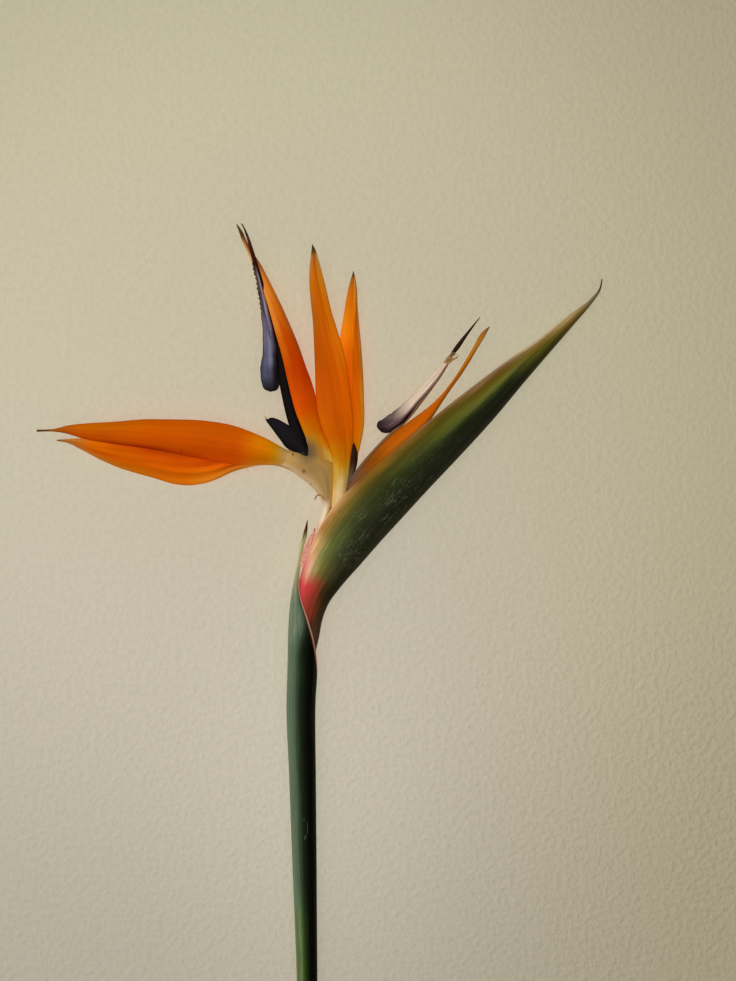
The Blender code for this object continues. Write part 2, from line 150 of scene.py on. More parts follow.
def trough(keel, margin, half_width, mouth, wall, centre_z=0.0, rows=FINE_ROWS, cols=FINE_COLS,
           relief=None, marks={}, lean=None):
    """Folded sheet. The section at a station is part of an ellipse that starts at the keel, bulges
    half_width to each side and ends at the two margins, mouth degrees round from the keel:
    point = keel + (margin - keel)(1 - cos a)/(1 - cos mouth), z = centre_z +- half_width sin a.
    relief(t, q) is added to the half width, q running from -1 at one margin over 0 at the keel to 1.
    lean(t, q) moves the point along the line from keel to margin, in millimetres."""
    t = np.linspace(0.0, 1.0, rows)
    low, high = along(keel, t)[:, None], along(margin, t)[:, None]
    tables = (half_width, mouth, wall, centre_z)
    width, end, thick, middle = (soft_knots(table, t)[:, None] for table in tables)
    q = np.linspace(-1.0, 1.0, 2 * cols - 1)[None, :]
    q = np.sign(q) * (1 - (1 - np.abs(q)) ** 1.25)
    tt, qq = np.repeat(t[:, None], q.shape[1], axis=1), np.repeat(q, rows, axis=0)
    angle = np.radians(end) * np.abs(qq)
    across = ((1 - np.cos(angle)) / (1 - np.cos(np.radians(end))))[..., None]
    chord = high - low
    depth = np.linalg.norm(chord, axis=-1, keepdims=True)
    bulge = width + (relief(tt, qq) if relief else 0.0)
    push = (lean(tt, qq)[..., None] * chord / depth) if lean else 0.0
    thick = thick * (1 - 0.75 * np.abs(qq) ** 10)
    inset = np.minimum(thick[..., None] / depth, 0.45)

    def sheet(shrink, across):
        """The section's points, pulled in by shrink."""
        z = middle + np.sign(qq) * (bulge - shrink) * np.sin(angle)
        return np.concatenate([low + chord * across + push, z[..., None]], axis=-1)

    named = {name: mark(tt, qq) for name, mark in marks.items()} | {"up": across[..., 0]}
    return two_sheets(sheet(0.0, across), sheet(thick, inset + (1 - inset) * across), (qq + 1) / 2, named)


def blade(edge_a, edge_b, height, crown, thick, rows=FINE_ROWS, cols=57, fold=None, relief=None,
          marks={}, thins=6):
    """Thin leaf between two edges, with s = -1 at edge a and 1 at edge b. Its height runs straight
    between the edges' own heights, plus crown (1 - s squared), plus fold (1 - |s - ridge|/(1 +- ridge)),
    a tent whose ridge runs along the leaf. Its thickness falls off as the square root of 1 - s to the
    power thins: an ellipse with 2, and only close to the edges with 6."""
    t = np.linspace(0.0, 1.0, rows)
    s = np.sin(np.linspace(-np.pi / 2, np.pi / 2, cols))[None, :]
    tt, ss = np.repeat(t[:, None], cols, axis=1), np.repeat(s, rows, axis=0)
    a, b = along(edge_a, t)[:, None], along(edge_b, t)[:, None]
    flat = a * (1 - ss[..., None]) / 2 + b * (1 + ss[..., None]) / 2
    height_a, height_b, arch = (soft_knots(table, t)[:, None] for table in (*height, crown))
    z = height_a * (1 - ss) / 2 + height_b * (1 + ss) / 2 + arch * (1 - ss**2)
    if fold:
        peak, ridge = (soft_knots(table, t)[:, None] for table in fold)
        side = np.where(ss < ridge, (ss + 1) / (1 + ridge), (1 - ss) / (1 - ridge))
        z = z + peak * (1 - np.sqrt((1 - side) ** 2 + 0.006))
    if relief:
        z = z + relief(tt, ss)
    half = soft_knots(thick, t)[:, None] / 2 * np.sqrt(1.02 - ss**thins)
    up = (ss + 1) / 2
    named = {name: mark(tt, ss) for name, mark in marks.items()} | {"up": up}
    outer, inner = (np.concatenate([flat, face[..., None]], axis=-1) for face in (z + half, z - half))
    return two_sheets(outer, inner, up, named)


def rod(path, radius, flatness=1.0, rows=120, sides=40, relief=None):
    """Round piece along a path of (x, y, z) points: ring = centre + r (side cos a + flatness up sin a),
    r read from (station, value) pairs plus relief(t, a). A smaller ring rounds over each end."""
    t = np.linspace(0.0, 1.0, rows)
    centre = along(path, t)
    tangent = np.gradient(centre, axis=0)
    tangent /= np.linalg.norm(tangent, axis=1, keepdims=True)
    side = np.cross([0.0, 0.0, 1.0], tangent)
    side /= np.linalg.norm(side, axis=1, keepdims=True)
    up = np.cross(tangent, side)
    turn = np.linspace(0.0, 2 * np.pi, sides, endpoint=False)[None, :]
    r = np.repeat(soft_knots(radius, t)[:, None], sides, axis=1)
    if relief:
        r = r + relief(np.repeat(t[:, None], sides, axis=1), np.repeat(turn, rows, axis=0))
    turn = turn[..., None]
    spokes = side[:, None] * np.cos(turn) + flatness * up[:, None] * np.sin(turn)
    rings = centre[:, None] + r[..., None] * spokes
    ends, outward = [0, -1], np.array([-1.0, 1.0])[:, None, None]
    tips = rings[ends] * 0.5 + centre[ends, None] * 0.5
    tips += outward * tangent[ends, None] * r[ends][..., None] * 0.15
    rings = np.concatenate([tips[:1], rings, tips[1:]])
    grid = np.arange((rows + 2) * sides).reshape(rows + 2, sides)
    turned = np.roll(grid, -1, axis=1)
    walls = np.stack([grid[:-1], turned[:-1], turned[1:], grid[1:]], axis=-1).reshape(-1, 4)
    far = np.clip(np.linspace(-1 / rows, 1 + 1 / rows, rows + 2), 0, 1)
    around = np.abs(np.linspace(-1, 1, sides, endpoint=False))
    leaf = np.stack([np.tile(around, rows + 2), np.repeat(far, sides)], axis=1)
    marks = {"up": np.tile(0.5 + 0.5 * np.cos(turn[0, :, 0]), rows + 2), "inside": np.zeros(len(leaf))}
    return Shell(rings.reshape(-1, 3), walls, leaf, marks, np.stack([grid[0, ::-1], grid[-1]]))


def piece(node, finish, slot, *shells):
    """Puts the shells, grown as one, into the piece that stands for a solid, with its finish."""
    points = np.concatenate([shell.points for shell in shells])
    starts = np.cumsum([0, *(len(shell.points) for shell in shells)])
    faces = [face for shell, start in zip(shells, starts) for group in shell.faces
             for face in (group + start).tolist()]
    mesh = bpy.data.meshes.new(f"{node}_look")
    mesh.from_pydata(((points + ZERO) * MM).tolist(), [], faces)
    corner = np.empty(len(mesh.loops), np.int32)
    mesh.loops.foreach_get("vertex_index", corner)
    leaf = np.concatenate([shell.leaf for shell in shells])
    mesh.uv_layers.new(name="leaf").data.foreach_set("uv", leaf[corner].ravel())
    for mark in sorted({mark for shell in shells for mark in shell.marks}):
        value = np.concatenate([shell.marks.get(mark, np.zeros(len(shell.points))) for shell in shells])
        mesh.attributes.new(mark, "FLOAT", "POINT").data.foreach_set("value", value)
    mesh.shade_smooth()
    mesh.materials.append(finish)
    made = bpy.data.objects.new(f"{node}_look", mesh)
    bpy.context.scene.collection.objects.link(made)
    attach(made, "root")
    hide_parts(node)


# ---------------------------------------------------------------- finishes

SHOWN = 0.8                             # part of its paint that a face turned to the light gives back


def colour(red, green, blue):
    """Linear paint that shows as the swatch, given as red, green and blue from 0 to 255."""
    c = np.array([red, green, blue]) / 255
    linear = np.where(c <= 0.04045, c / 12.92, ((c + 0.055) / 1.055) ** 2.4)
    return (*np.minimum(linear / SHOWN, 0.95), 1.0)


class Finish:
    """One material and the short hand for wiring its nodes."""

    def __init__(self, name, roughness, specular):
        self.material = bpy.data.materials.new(name)
        self.material.use_nodes = True
        self.tree = self.material.node_tree
        self.shader = self.tree.nodes["Principled BSDF"]
        self.shader.inputs["Roughness"].default_value = roughness
        self.shader.inputs["Specular IOR Level"].default_value = specular
        self.object = self.tree.nodes.new("ShaderNodeTexCoord").outputs["Object"]
        leaf = self.tree.nodes.new("ShaderNodeUVMap")
        leaf.uv_map = "leaf"
        self.leaf = leaf.outputs["UV"]
        self.along = self.part(self.leaf, 1)

    def feed(self, socket, value):
        if isinstance(value, bpy.types.NodeSocket):
            self.tree.links.new(value, socket)
        else:
            socket.default_value = value

    def part(self, vector, axis):
        made = self.tree.nodes.new("ShaderNodeSeparateXYZ")
        self.feed(made.inputs[0], vector)
        return made.outputs[axis]

    def mark(self, name):
        read = self.tree.nodes.new("ShaderNodeAttribute")
        read.attribute_name = name
        return read.outputs["Fac"]

    def math(self, kind, a, b=0.0):
        made = self.tree.nodes.new("ShaderNodeMath")
        made.operation = kind
        self.feed(made.inputs[0], a)
        self.feed(made.inputs[1], b)
        return made.outputs[0]

    def times(self, first, *others):
        """Product of numbers and masks."""
        for other in others:
            first = self.math("MULTIPLY", first, other)
        return first

    def vector_math(self, kind, vector, other=None, scale=None):
        made = self.tree.nodes.new("ShaderNodeVectorMath")
        made.operation = kind
        self.feed(made.inputs[0], vector)
        if other is not None:
            made.inputs[1].default_value = other
        if scale is not None:
            self.feed(made.inputs["Scale"], scale)
        return made.outputs["Value" if kind == "LENGTH" else "Vector"]

    def band(self, value, low, high, start=0.0, end=1.0):
        """Value taken smoothly from start at low to end at high."""
        made = self.tree.nodes.new("ShaderNodeMapRange")
        made.interpolation_type = "SMOOTHSTEP"
        self.feed(made.inputs["Value"], value)
        for socket, number in zip(("From Min", "From Max", "To Min", "To Max"), (low, high, start, end)):
            made.inputs[socket].default_value = number
        return made.outputs["Result"]

    def ramp(self, value, swatches):
        """Colour ramp over a value from (place, red, green, blue) swatches."""
        made = self.tree.nodes.new("ShaderNodeValToRGB")
        made.color_ramp.interpolation = "EASE"
        while len(made.color_ramp.elements) < len(swatches):
            made.color_ramp.elements.new(0.5)
        for element, (place, *swatch) in zip(made.color_ramp.elements, swatches):
            element.position, element.color = place, colour(*swatch)
        self.feed(made.inputs[0], value)
        return made.outputs["Color"]

    def mix(self, amount, a, b):
        made = self.tree.nodes.new("ShaderNodeMix")
        made.data_type = "RGBA"
        for socket, value in (("Factor", amount), ("A", a), ("B", b)):
            self.feed(made.inputs[socket], value)
        return made.outputs["Result"]

    def over(self, shade, swatch, *masks):
        """Shade covered by a swatch, as far as the product of the masks says."""
        return self.mix(self.times(*masks), shade, colour(*swatch))

    def patchwork(self, place, other, rows):
        """Colour over a sheet: each row is a place and its swatches along the other way, and
        neighbouring rows run smoothly into each other."""
        shade = self.ramp(other, rows[0][1])
        for (before, _), (after, swatches) in zip(rows, rows[1:]):
            shade = self.mix(self.band(place, before, after), shade, self.ramp(other, swatches))
        return shade

    def uneven(self, *parts):
        """1 plus each (noise - 0.5) times its weight."""
        total = 1.0
        for noise, weight in parts:
            total = self.math("ADD", self.times(self.math("SUBTRACT", noise, 0.5), weight), total)
        return total

    def scaled(self, shade, amount):
        return self.vector_math("SCALE", shade, scale=amount)

    def wandering(self, value, noise, reach):
        """Value moved about by up to half the reach."""
        return self.math("ADD", value, self.times(self.math("SUBTRACT", noise, 0.5), reach))

    def stretched(self, vector, scale, turn=(0, 0, 0)):
        made = self.tree.nodes.new("ShaderNodeMapping")
        made.inputs["Scale"].default_value = scale
        made.inputs["Rotation"].default_value = turn
        self.feed(made.inputs["Vector"], vector)
        return made.outputs["Vector"]

    def noise(self, vector, scale=1.0, detail=3.0, roughness=0.55):
        made = self.tree.nodes.new("ShaderNodeTexNoise")
        for socket, number in (("Scale", scale), ("Detail", detail), ("Roughness", roughness)):
            made.inputs[socket].default_value = number
        self.feed(made.inputs["Vector"], vector)
        return made.outputs["Fac"]

    def grain(self, across, lengthwise, detail=3.0, roughness=0.55):
        """Noise drawn out along the leaf: so many waves across it and so many along it."""
        return self.noise(self.stretched(self.leaf, (across, lengthwise, 1.0)), 1.0, detail, roughness)

    def near(self, x, y, radius, stretch=1.0):
        """1 at a place of the drawing, falling to 0 at radius; stretch lengthens the spot along Y."""
        centre = (np.array([x, y, 0.0]) + ZERO) * MM
        shift = self.vector_math("SUBTRACT", self.object, (centre[0], centre[1], 0.0))
        length = self.vector_math("LENGTH", self.stretched(shift, (1.0, 1.0 / stretch, 0.0)))
        return self.band(length, 0.0, radius * MM, 1.0, 0.0)

    def level(self, low, high, axis=1):
        """0 below low on the drawing's Y, or on another axis, 1 above high, smooth between."""
        place = self.part(self.object, axis)
        return self.band(place, (low + ZERO[axis]) * MM, (high + ZERO[axis]) * MM)

    def paint(self, shade, roughness=None, height=None, strength=0.3, depth=0.0003):
        """Wires the colour, the roughness and a bump of the given depth in metres."""
        self.feed(self.shader.inputs["Base Color"], shade)
        if roughness is not None:
            self.feed(self.shader.inputs["Roughness"], roughness)
        bump = self.tree.nodes.new("ShaderNodeBump")
        bump.inputs["Strength"].default_value = strength
        bump.inputs["Distance"].default_value = depth
        self.feed(bump.inputs["Height"], height)
        self.feed(self.shader.inputs["Normal"], bump.outputs["Normal"])
        return self.material


def sepal_finish(name, rows, dry_from=0.975, scars=(), foot_shade=0.0):
    """Waxy orange sepal: rows of colour from one edge to the other, each from the cream foot to the
    tip, with fine veins that fade at the foot, thin darker edges, a dry brown point and any
    (x, y, radius, stretch) scars. Painted shade greys it where the dark petals leave the flower's foot."""
    f = Finish(name, 0.5, 0.012)
    fine = f.grain(60.0, 1.8, 4.0, 0.6)
    broad = f.grain(9.0, 1.4)
    blotch = f.noise(f.object, 60.0, 3.0)
    place = f.wandering(f.along, broad, 0.05)
    shade = f.patchwork(f.wandering(f.mark("up"), blotch, 0.12), place, rows)
    veined = f.band(f.along, 0.08, 0.25, 0.12, 1.0)
    shade = f.scaled(shade, f.uneven((fine, f.times(veined, 0.55)), (broad, f.times(veined, 0.33)),
                                     (blotch, 0.25)))
    if foot_shade:
        # painted grey shade where the dark petals leave the flower's foot
        shade = f.over(shade, FOOT_SHADE_GREY, f.near(*FOOT_SHADE_SPOT), foot_shade)
    # darker edges; along the front sepal's lower edge this dark line is painted shade where it lies over
    # the rear sepal
    shade = f.over(shade, (122, 40, 2), f.mark("rim"))
    for scar in scars:
        shade = f.over(shade, (110, 30, 4), f.near(*scar), 0.9)
    dry = f.band(place, dry_from, dry_from + 0.02)
    shade = f.over(shade, (74, 50, 22), dry, f.band(broad, 0.2, 0.6, 0.6, 1.0))
    veins = f.math("ADD", fine, f.times(broad, 1.5))
    return f.paint(shade, f.band(fine, 0.2, 0.8, 0.44, 0.58), veins, 0.18)


def rim_mark(width=0.05, start=0.1, amount=0.35):
    """Mark that rises from 0 to its amount over the outer width of a blade, past its foot."""
    return lambda t, s: rise(1 - width, 1.0, np.abs(s)) * rise(start, start + 0.1, t) * amount


# painted grey shade round the dark petals' feet: its x, y, radius and stretch, and its swatch
FOOT_SHADE_SPOT, FOOT_SHADE_GREY = (-4.4, 79.8, 6.0, 1.2), (88, 72, 52)

# colour rows of the front sepal; the row at its lower edge is darker over the middle of its length, painted
# shade along the crease where it lies over the rear sepal
FRONT_ROWS = (
    (0.02, ((0.05, 166, 134, 80), (0.09, 184, 142, 74), (0.12, 196, 134, 46), (0.16, 206, 120, 24),
        (0.28, 208, 74, 0), (0.42, 186, 60, 0), (0.62, 152, 38, 0), (0.78, 176, 60, 2),
        (1.0, 150, 84, 30))),
    (0.22, ((0.05, 164, 130, 80), (0.085, 182, 140, 76), (0.105, 184, 134, 50), (0.125, 188, 120, 4),
        (0.16, 196, 102, 0), (0.28, 190, 70, 0), (0.60, 192, 75, 0), (0.80, 182, 72, 0),
        (1.0, 150, 80, 20))),
    (0.90, ((0.05, 164, 130, 80), (0.085, 186, 146, 80), (0.105, 190, 142, 60), (0.125, 204, 134, 2),
        (0.16, 224, 126, 0), (0.28, 202, 86, 0), (0.50, 198, 85, 0), (0.80, 192, 95, 0),
        (1.0, 150, 86, 24))),
)
# colour rows of the rear sepal; the row near its upper edge is darker over the middle of its length, a
# painted shadow of the front sepal's edge
REAR_ROWS = (
    (0.08, ((0.10, 180, 140, 74), (0.17, 206, 136, 44), (0.28, 200, 112, 26), (0.40, 214, 118, 20),
        (0.50, 206, 103, 8), (0.61, 202, 98, 8), (0.72, 190, 102, 8), (0.85, 188, 106, 30),
        (1.0, 150, 84, 30))),
    (0.27, ((0.08, 180, 138, 74), (0.16, 178, 104, 4), (0.27, 188, 72, 0), (0.39, 217, 104, 2),
        (0.50, 206, 92, 0), (0.72, 197, 84, 0), (0.84, 187, 78, 0), (0.95, 176, 108, 40))),
    (0.50, ((0.08, 172, 136, 76), (0.16, 192, 102, 0), (0.27, 183, 62, 0), (0.39, 184, 66, 0),
        (0.50, 193, 76, 0), (0.61, 199, 81, 0), (0.72, 200, 89, 0), (0.84, 206, 96, 0),
        (0.95, 174, 104, 30))),
    (0.80, ((0.08, 172, 136, 80), (0.15, 206, 112, 0), (0.27, 194, 71, 0), (0.39, 184, 63, 0),
        (0.50, 168, 54, 0), (0.61, 158, 46, 0), (0.72, 186, 73, 0), (0.84, 208, 99, 0),
        (0.95, 188, 120, 54))),
)
# colour rows of the upright sepal; the keel row's pale yellow near the foot is partly the foot's cream and
# partly a painted highlight
UPRIGHT_ROWS = (
    (0.04, ((0.04, 246, 196, 92), (0.08, 250, 190, 74), (0.12, 230, 142, 10), (0.18, 216, 114, 0),
        (0.28, 210, 86, 0), (0.40, 204, 66, 0), (0.50, 198, 82, 10), (0.62, 206, 112, 40),
        (0.75, 216, 122, 40), (0.84, 160, 96, 44), (1.0, 90, 50, 20))),
    (0.25, ((0.04, 192, 146, 62), (0.08, 204, 152, 54), (0.12, 212, 128, 8), (0.18, 212, 108, 0),
        (0.28, 206, 74, 0), (0.40, 198, 58, 0), (0.50, 190, 66, 2), (0.62, 198, 96, 14),
        (0.75, 208, 112, 26), (0.88, 150, 90, 44), (1.0, 90, 50, 20))),
    (0.45, ((0.04, 160, 124, 66), (0.09, 172, 122, 46), (0.14, 190, 118, 12), (0.18, 194, 98, 0),
        (0.28, 202, 70, 0), (0.45, 184, 58, 0), (0.55, 194, 70, 0), (0.64, 214, 104, 8),
        (0.74, 224, 134, 42), (0.88, 160, 96, 44), (1.0, 100, 58, 24))),
    (0.85, ((0.04, 136, 106, 64), (0.10, 142, 108, 62), (0.14, 170, 118, 32), (0.18, 188, 104, 2),
        (0.26, 200, 76, 0), (0.40, 188, 68, 2), (0.52, 196, 92, 8), (0.60, 216, 122, 40),
        (0.75, 216, 132, 50), (0.90, 200, 140, 80), (1.0, 120, 74, 36))),
)
TALL_ROWS = (
    (0.10, ((0.05, 206, 170, 106), (0.10, 190, 148, 64), (0.15, 195, 147, 50), (0.17, 190, 134, 30),
        (0.20, 192, 114, 0), (0.28, 194, 92, 0), (0.45, 194, 80, 2), (0.60, 176, 76, 0),
        (0.72, 174, 88, 10), (0.84, 182, 100, 16), (0.95, 170, 112, 50), (1.0, 120, 80, 30))),
    (0.50, ((0.05, 210, 180, 125), (0.095, 204, 172, 108), (0.13, 192, 148, 60), (0.155, 189, 126, 14),
        (0.18, 185, 108, 0), (0.28, 190, 82, 0), (0.50, 196, 81, 0), (0.75, 192, 88, 0), (0.90, 182, 90, 4),
        (1.0, 110, 70, 24))),
    (0.90, ((0.05, 206, 160, 104), (0.10, 196, 156, 88), (0.13, 188, 146, 60), (0.16, 190, 126, 16),
        (0.20, 196, 104, 2), (0.30, 212, 92, 0), (0.45, 216, 92, 0), (0.60, 222, 110, 8),
        (0.75, 216, 116, 10), (0.86, 208, 122, 20), (0.95, 190, 130, 60), (1.0, 120, 80, 30))),
)
FOLDED_ROWS = (
    (0.15, ((0.10, 190, 160, 100), (0.20, 184, 84, 0), (0.45, 192, 80, 0), (0.62, 214, 110, 10),
        (0.74, 222, 126, 16), (0.88, 198, 106, 12), (1.0, 130, 84, 34))),
    (0.50, ((0.10, 190, 160, 100), (0.20, 184, 84, 0), (0.45, 196, 81, 0), (0.62, 198, 90, 0),
        (0.74, 220, 112, 2), (0.90, 196, 98, 2), (1.0, 120, 76, 30))),
    (0.78, ((0.10, 150, 120, 76), (0.20, 208, 112, 0), (0.35, 220, 104, 0), (0.55, 218, 94, 0),
        (0.75, 220, 102, 0), (0.86, 214, 118, 14), (0.95, 196, 126, 50), (1.0, 130, 84, 34))),
    (0.97, ((0.10, 150, 120, 76), (0.20, 208, 130, 8), (0.35, 206, 128, 22), (0.55, 204, 118, 24),
        (0.75, 214, 132, 50), (0.92, 214, 146, 70), (1.0, 130, 84, 34))),
)
LOW_ROWS = (
    (0.15, ((0.10, 110, 88, 28), (0.40, 152, 88, 16), (0.60, 186, 98, 14), (0.80, 200, 116, 16),
        (0.92, 184, 122, 48), (1.0, 150, 96, 40))),
    (0.50, ((0.05, 108, 78, 34), (0.18, 146, 78, 10), (0.30, 190, 96, 12), (0.50, 200, 90, 0),
        (0.70, 184, 94, 8), (0.90, 190, 118, 22), (1.0, 130, 88, 36))),
    (0.85, ((0.05, 114, 74, 46), (0.16, 130, 68, 10), (0.30, 172, 80, 2), (0.60, 188, 92, 8),
        (0.85, 184, 108, 14), (1.0, 150, 100, 50))),
)


# ---------------------------------------------------------------- stem, sheath, spathe

STEM_RADIUS = ((-200.0, 4.0), (-132.0, 4.1), (-84.0, 4.9), (-20.0, 5.8))
STEM_SWAY = ((-200.0, -3.6), (-132.0, -4.4), (-52.0, -6.2), (-20.0, -6.8), (-14.0, -6.9))
NODE_Y, STEM_TOP_Y = -150.0, -14.4
SHEATH_ROOM = 1.5                       # sheath wall and the space inside it
NECK_RADIUS = 5.85                      # of the sheath where it leaves the stem
CLEARANCE = 0.02                        # between the stem's cut end and the table


def stem_height(y):
    """Height of the stem's axis: level with the spathe at the neck, resting on the table at the cut."""
    end = TABLE_Z + knots(STEM_RADIUS, CUT_Y) + CLEARANCE
    return end * np.clip(y / CUT_Y, 0.0, 1.0)


def smooth_stem(table, y):
    """Value of a stem table at y, rounded over 12 mm."""
    shift = np.linspace(-12.0, 12.0, 9)
    return np.mean([knots(table, y + move) for move in shift], axis=0)


def stem():
    """Solid stem, ribbed slightly, with a swollen ring where the sheath leaves it and a clean cut."""
    length = STEM_TOP_Y - CUT_Y
    y = np.linspace(CUT_Y, STEM_TOP_Y, 24)
    path = np.stack([smooth_stem(STEM_SWAY, y), y, stem_height(y)], axis=1)
    radius = [(place / 60, smooth_stem(STEM_RADIUS, CUT_Y + length * place / 60)) for place in range(61)]

    def ribs(t, a):
        """Eleven low ribs, the ring at the node, and above it the step in under the sheath."""
        at = CUT_Y + length * t
        ring = 0.35 * np.exp(-((at - NODE_Y + 3.0) / 1.6) ** 2)
        tuck = -SHEATH_ROOM * rise(NODE_Y - 0.9, NODE_Y + 0.6, at)
        rib = 0.05 * np.sin(11 * a + 0.6 * waves(t * 9, 3)) + 0.06 * waves(a * 2 + t * 7, 5)
        return ring + tuck + rib

    piece("stem", stem_finish(), "stem_green", rod(path, radius, rows=320, sides=64, relief=ribs))


def green_streaks(f):
    """Fine lengthwise fibres and broader clouds of a green stalk, squeezed across its length."""
    fibre = f.noise(f.stretched(f.object, (900.0, 28.0, 900.0)), 1.0, 5.0, 0.62)
    return fibre, f.noise(f.stretched(f.object, (200.0, 22.0, 200.0)))


# green of a stalk round its section: its own green, paler with painted light on one side and darker with
# painted shade on the other
STALK_GREEN_LIT_AND_SHADED = ((0.0, 116, 128, 92), (0.12, 88, 106, 64), (0.26, 98, 116, 72), (0.38, 54, 72, 28),
    (0.5, 34, 46, 16), (0.65, 9, 16, 3), (0.82, 8, 10, 3), (0.94, 22, 22, 9), (1.0, 30, 28, 14))


def stem_finish():
    """Green stalk, paler with painted light on one side and darker with painted shade on the other; the cut
    is pale with darker strands.
    """
    f = Finish("stem_skin", 0.5, 0.03)
    fibre, cloud = green_streaks(f)
    # painted light on one side of the stem and painted shade on the other
    skin = f.ramp(f.wandering(f.mark("up"), fibre, 0.25), STALK_GREEN_LIT_AND_SHADED)
    skin = f.scaled(skin, f.uneven((fibre, 1.8), (cloud, 0.8)))
    cells = f.tree.nodes.new("ShaderNodeTexVoronoi")
    cells.inputs["Scale"].default_value = 1100.0
    f.feed(cells.inputs["Vector"], f.object)
    strands = f.ramp(cells.outputs["Distance"],
                     ((0.0, 86, 94, 46), (0.35, 178, 180, 130), (1.0, 194, 194, 150)))
    skin = f.mix(f.level(CUT_Y - 0.1, CUT_Y + 0.3), strands, skin)
    return f.paint(skin, f.band(fibre, 0.2, 0.8, 0.42, 0.58), fibre, 0.35)


def stem_sheath():
    """Leaf sheath wrapped round the stem from its ring to the neck, where it opens on the spathe's
    side, keeps to the back of the bend and runs out to a pointed tip."""
    y = np.array([NODE_Y, -132.0, -108.0, -84.0, -52.0, -20.0])
    sway, radius = smooth_stem(STEM_SWAY, y), smooth_stem(STEM_RADIUS, y)
    radius[-1] = NECK_RADIUS
    back = [*zip(sway - radius, y), (-12.2, -6.0), (-12.0, 4.0), (-11.2, 18.0), (-10.0, 26.0), (-8.4, 34.0),
        (-6.7, 44.0), (-4.9, 50.0), (-4.25, 52.2)]
    lips = [*zip(sway + radius, y), (-0.3, -7.0), (-1.6, 4.4), (-4.0, 13.0), (-6.6, 20.4), (-7.6, 26.4),
        (-7.2, 32.6), (-5.7, 41.0), (-4.5, 45.8), (-4.1, 50.0), (-4.15, 52.2)]
    half_width = ((0.0, radius[0]), (0.33, radius[3]), (0.65, NECK_RADIUS), (0.714, 6.2), (0.76, 6.9),
        (0.803, 7.3), (0.86, 5.6), (0.9, 3.4), (0.95, 1.8), (1.0, 0.25))
    mouth = ((0.0, 178.0), (0.68, 178.0), (0.715, 168.0), (0.76, 125.0), (0.803, 92.0), (1.0, 92.0))
    rest = ((0.0, stem_height(NODE_Y)), (0.72, 0.0), (1.0, 0.0))
    wall = ((0.0, 0.9), (0.86, 0.8), (0.94, 0.5), (1.0, 0.12))

    def ribs(t, q):
        """Fine ribs over slow waves."""
        return 0.035 * np.sin(44 * q + waves(t * 10, 8)) + 0.07 * waves(q * 4 + t * 12, 12)

    marks = {
        "lip": lambda t, q: rise(0.93, 0.995, np.abs(q)) * rise(0.66, 0.72, t),
        "point": lambda t, q: rise(0.955, 0.975, t + 0.01 * waves(q * 9, 4)),
    }
    shell = trough(back, lips, half_width, mouth, wall, rest, rows=340, cols=33, relief=ribs, marks=marks)
    piece("stem_sheath", sheath_finish(), "sheath_green", shell)


def sheath_finish():
    """Sheath skin: blue-green bloom on the left, lightened by painted light, which spreads across near the
    neck, dark green on the right, darkened by painted shade, fresher green low down with the same painted
    light and shade, a salmon lip, a yellowish upper end with a frayed brown point, and one corky scar."""
    f = Finish("sheath_skin", 0.5, 0.03)
    fibre, cloud = green_streaks(f)
    side = f.wandering(f.wandering(f.mark("up"), fibre, 0.3), cloud, 0.12)
    side = f.math("SUBTRACT", side, f.band(f.level(-6.0, 20.0), 0.0, 1.0, 0.0, 0.5))
    # real bloom with painted light on the pale side, and painted shade on the dark side
    bloom_and_shade = f.ramp(side, ((0.0, 112, 124, 102), (0.12, 92, 108, 84), (0.26, 76, 92, 72), (0.38, 46, 58, 38),
        (0.5, 22, 31, 17), (0.65, 12, 17, 8), (0.82, 6, 9, 4), (0.94, 20, 22, 11)))
    skin = f.mix(f.level(-116.0, -88.0), f.ramp(side, STALK_GREEN_LIT_AND_SHADED), bloom_and_shade)
    skin = f.scaled(skin, f.uneven((fibre, 1.8), (cloud, 0.8)))
    yellow = f.ramp(f.mark("up"), ((0.0, 196, 200, 158), (0.35, 172, 172, 122), (0.7, 150, 142, 80),
        (1.0, 176, 140, 92)))
    skin = f.mix(f.times(f.level(18.0, 38.0), 0.9), skin, yellow)
    healed = f.band(f.near(-5.4, -71.0, 1.4, 3.4), 0.1, 0.4, 1.0, 0.0)
    scar = f.times(f.near(-5.3, -71.0, 2.0, 3.2), healed, f.band(fibre, 0.42, 0.56))
    skin = f.over(skin, (92, 104, 70), f.band(scar, 0.1, 0.5, 0.0, 0.6))
    skin = f.over(skin, (208, 148, 124), f.mark("lip"))
    skin = f.over(skin, (60, 38, 12), f.mark("point"), f.band(cloud, 0.2, 0.5, 0.7, 1.0))
    return f.paint(skin, f.band(fibre, 0.2, 0.8, 0.44, 0.6), fibre, 0.4)


SPATHE_KEEL = [(-2.6, -13.9), (-1.9, -6.0), (0.6, 6.0), (1.8, 12.2), (4.2, 18.4), (8.8, 24.8), (17.2, 34.4),
    (25.6, 44.0), (34.4, 53.6), (43.2, 63.2), (56.8, 77.6), (70.0, 92.0), (83.0, 107.5), (94.4, 120.8),
    (104.0, 131.9), (110.2, 139.3), (113.4, 144.2), (114.3, 148.7)]
SPATHE_MARGIN = [(-10.9, -13.9), (-10.9, -4.0), (-10.0, 10.0), (-8.9, 20.0), (-7.2, 29.0), (-4.4, 38.2),
    (-1.4, 44.7), (2.0, 51.2), (7.1, 58.5), (14.0, 65.8), (28.3, 78.2), (42.5, 90.1), (57.8, 102.3),
    (73.8, 114.4), (89.4, 125.2), (100.9, 134.4), (109.8, 141.2), (112.8, 144.8), (113.8, 148.7)]


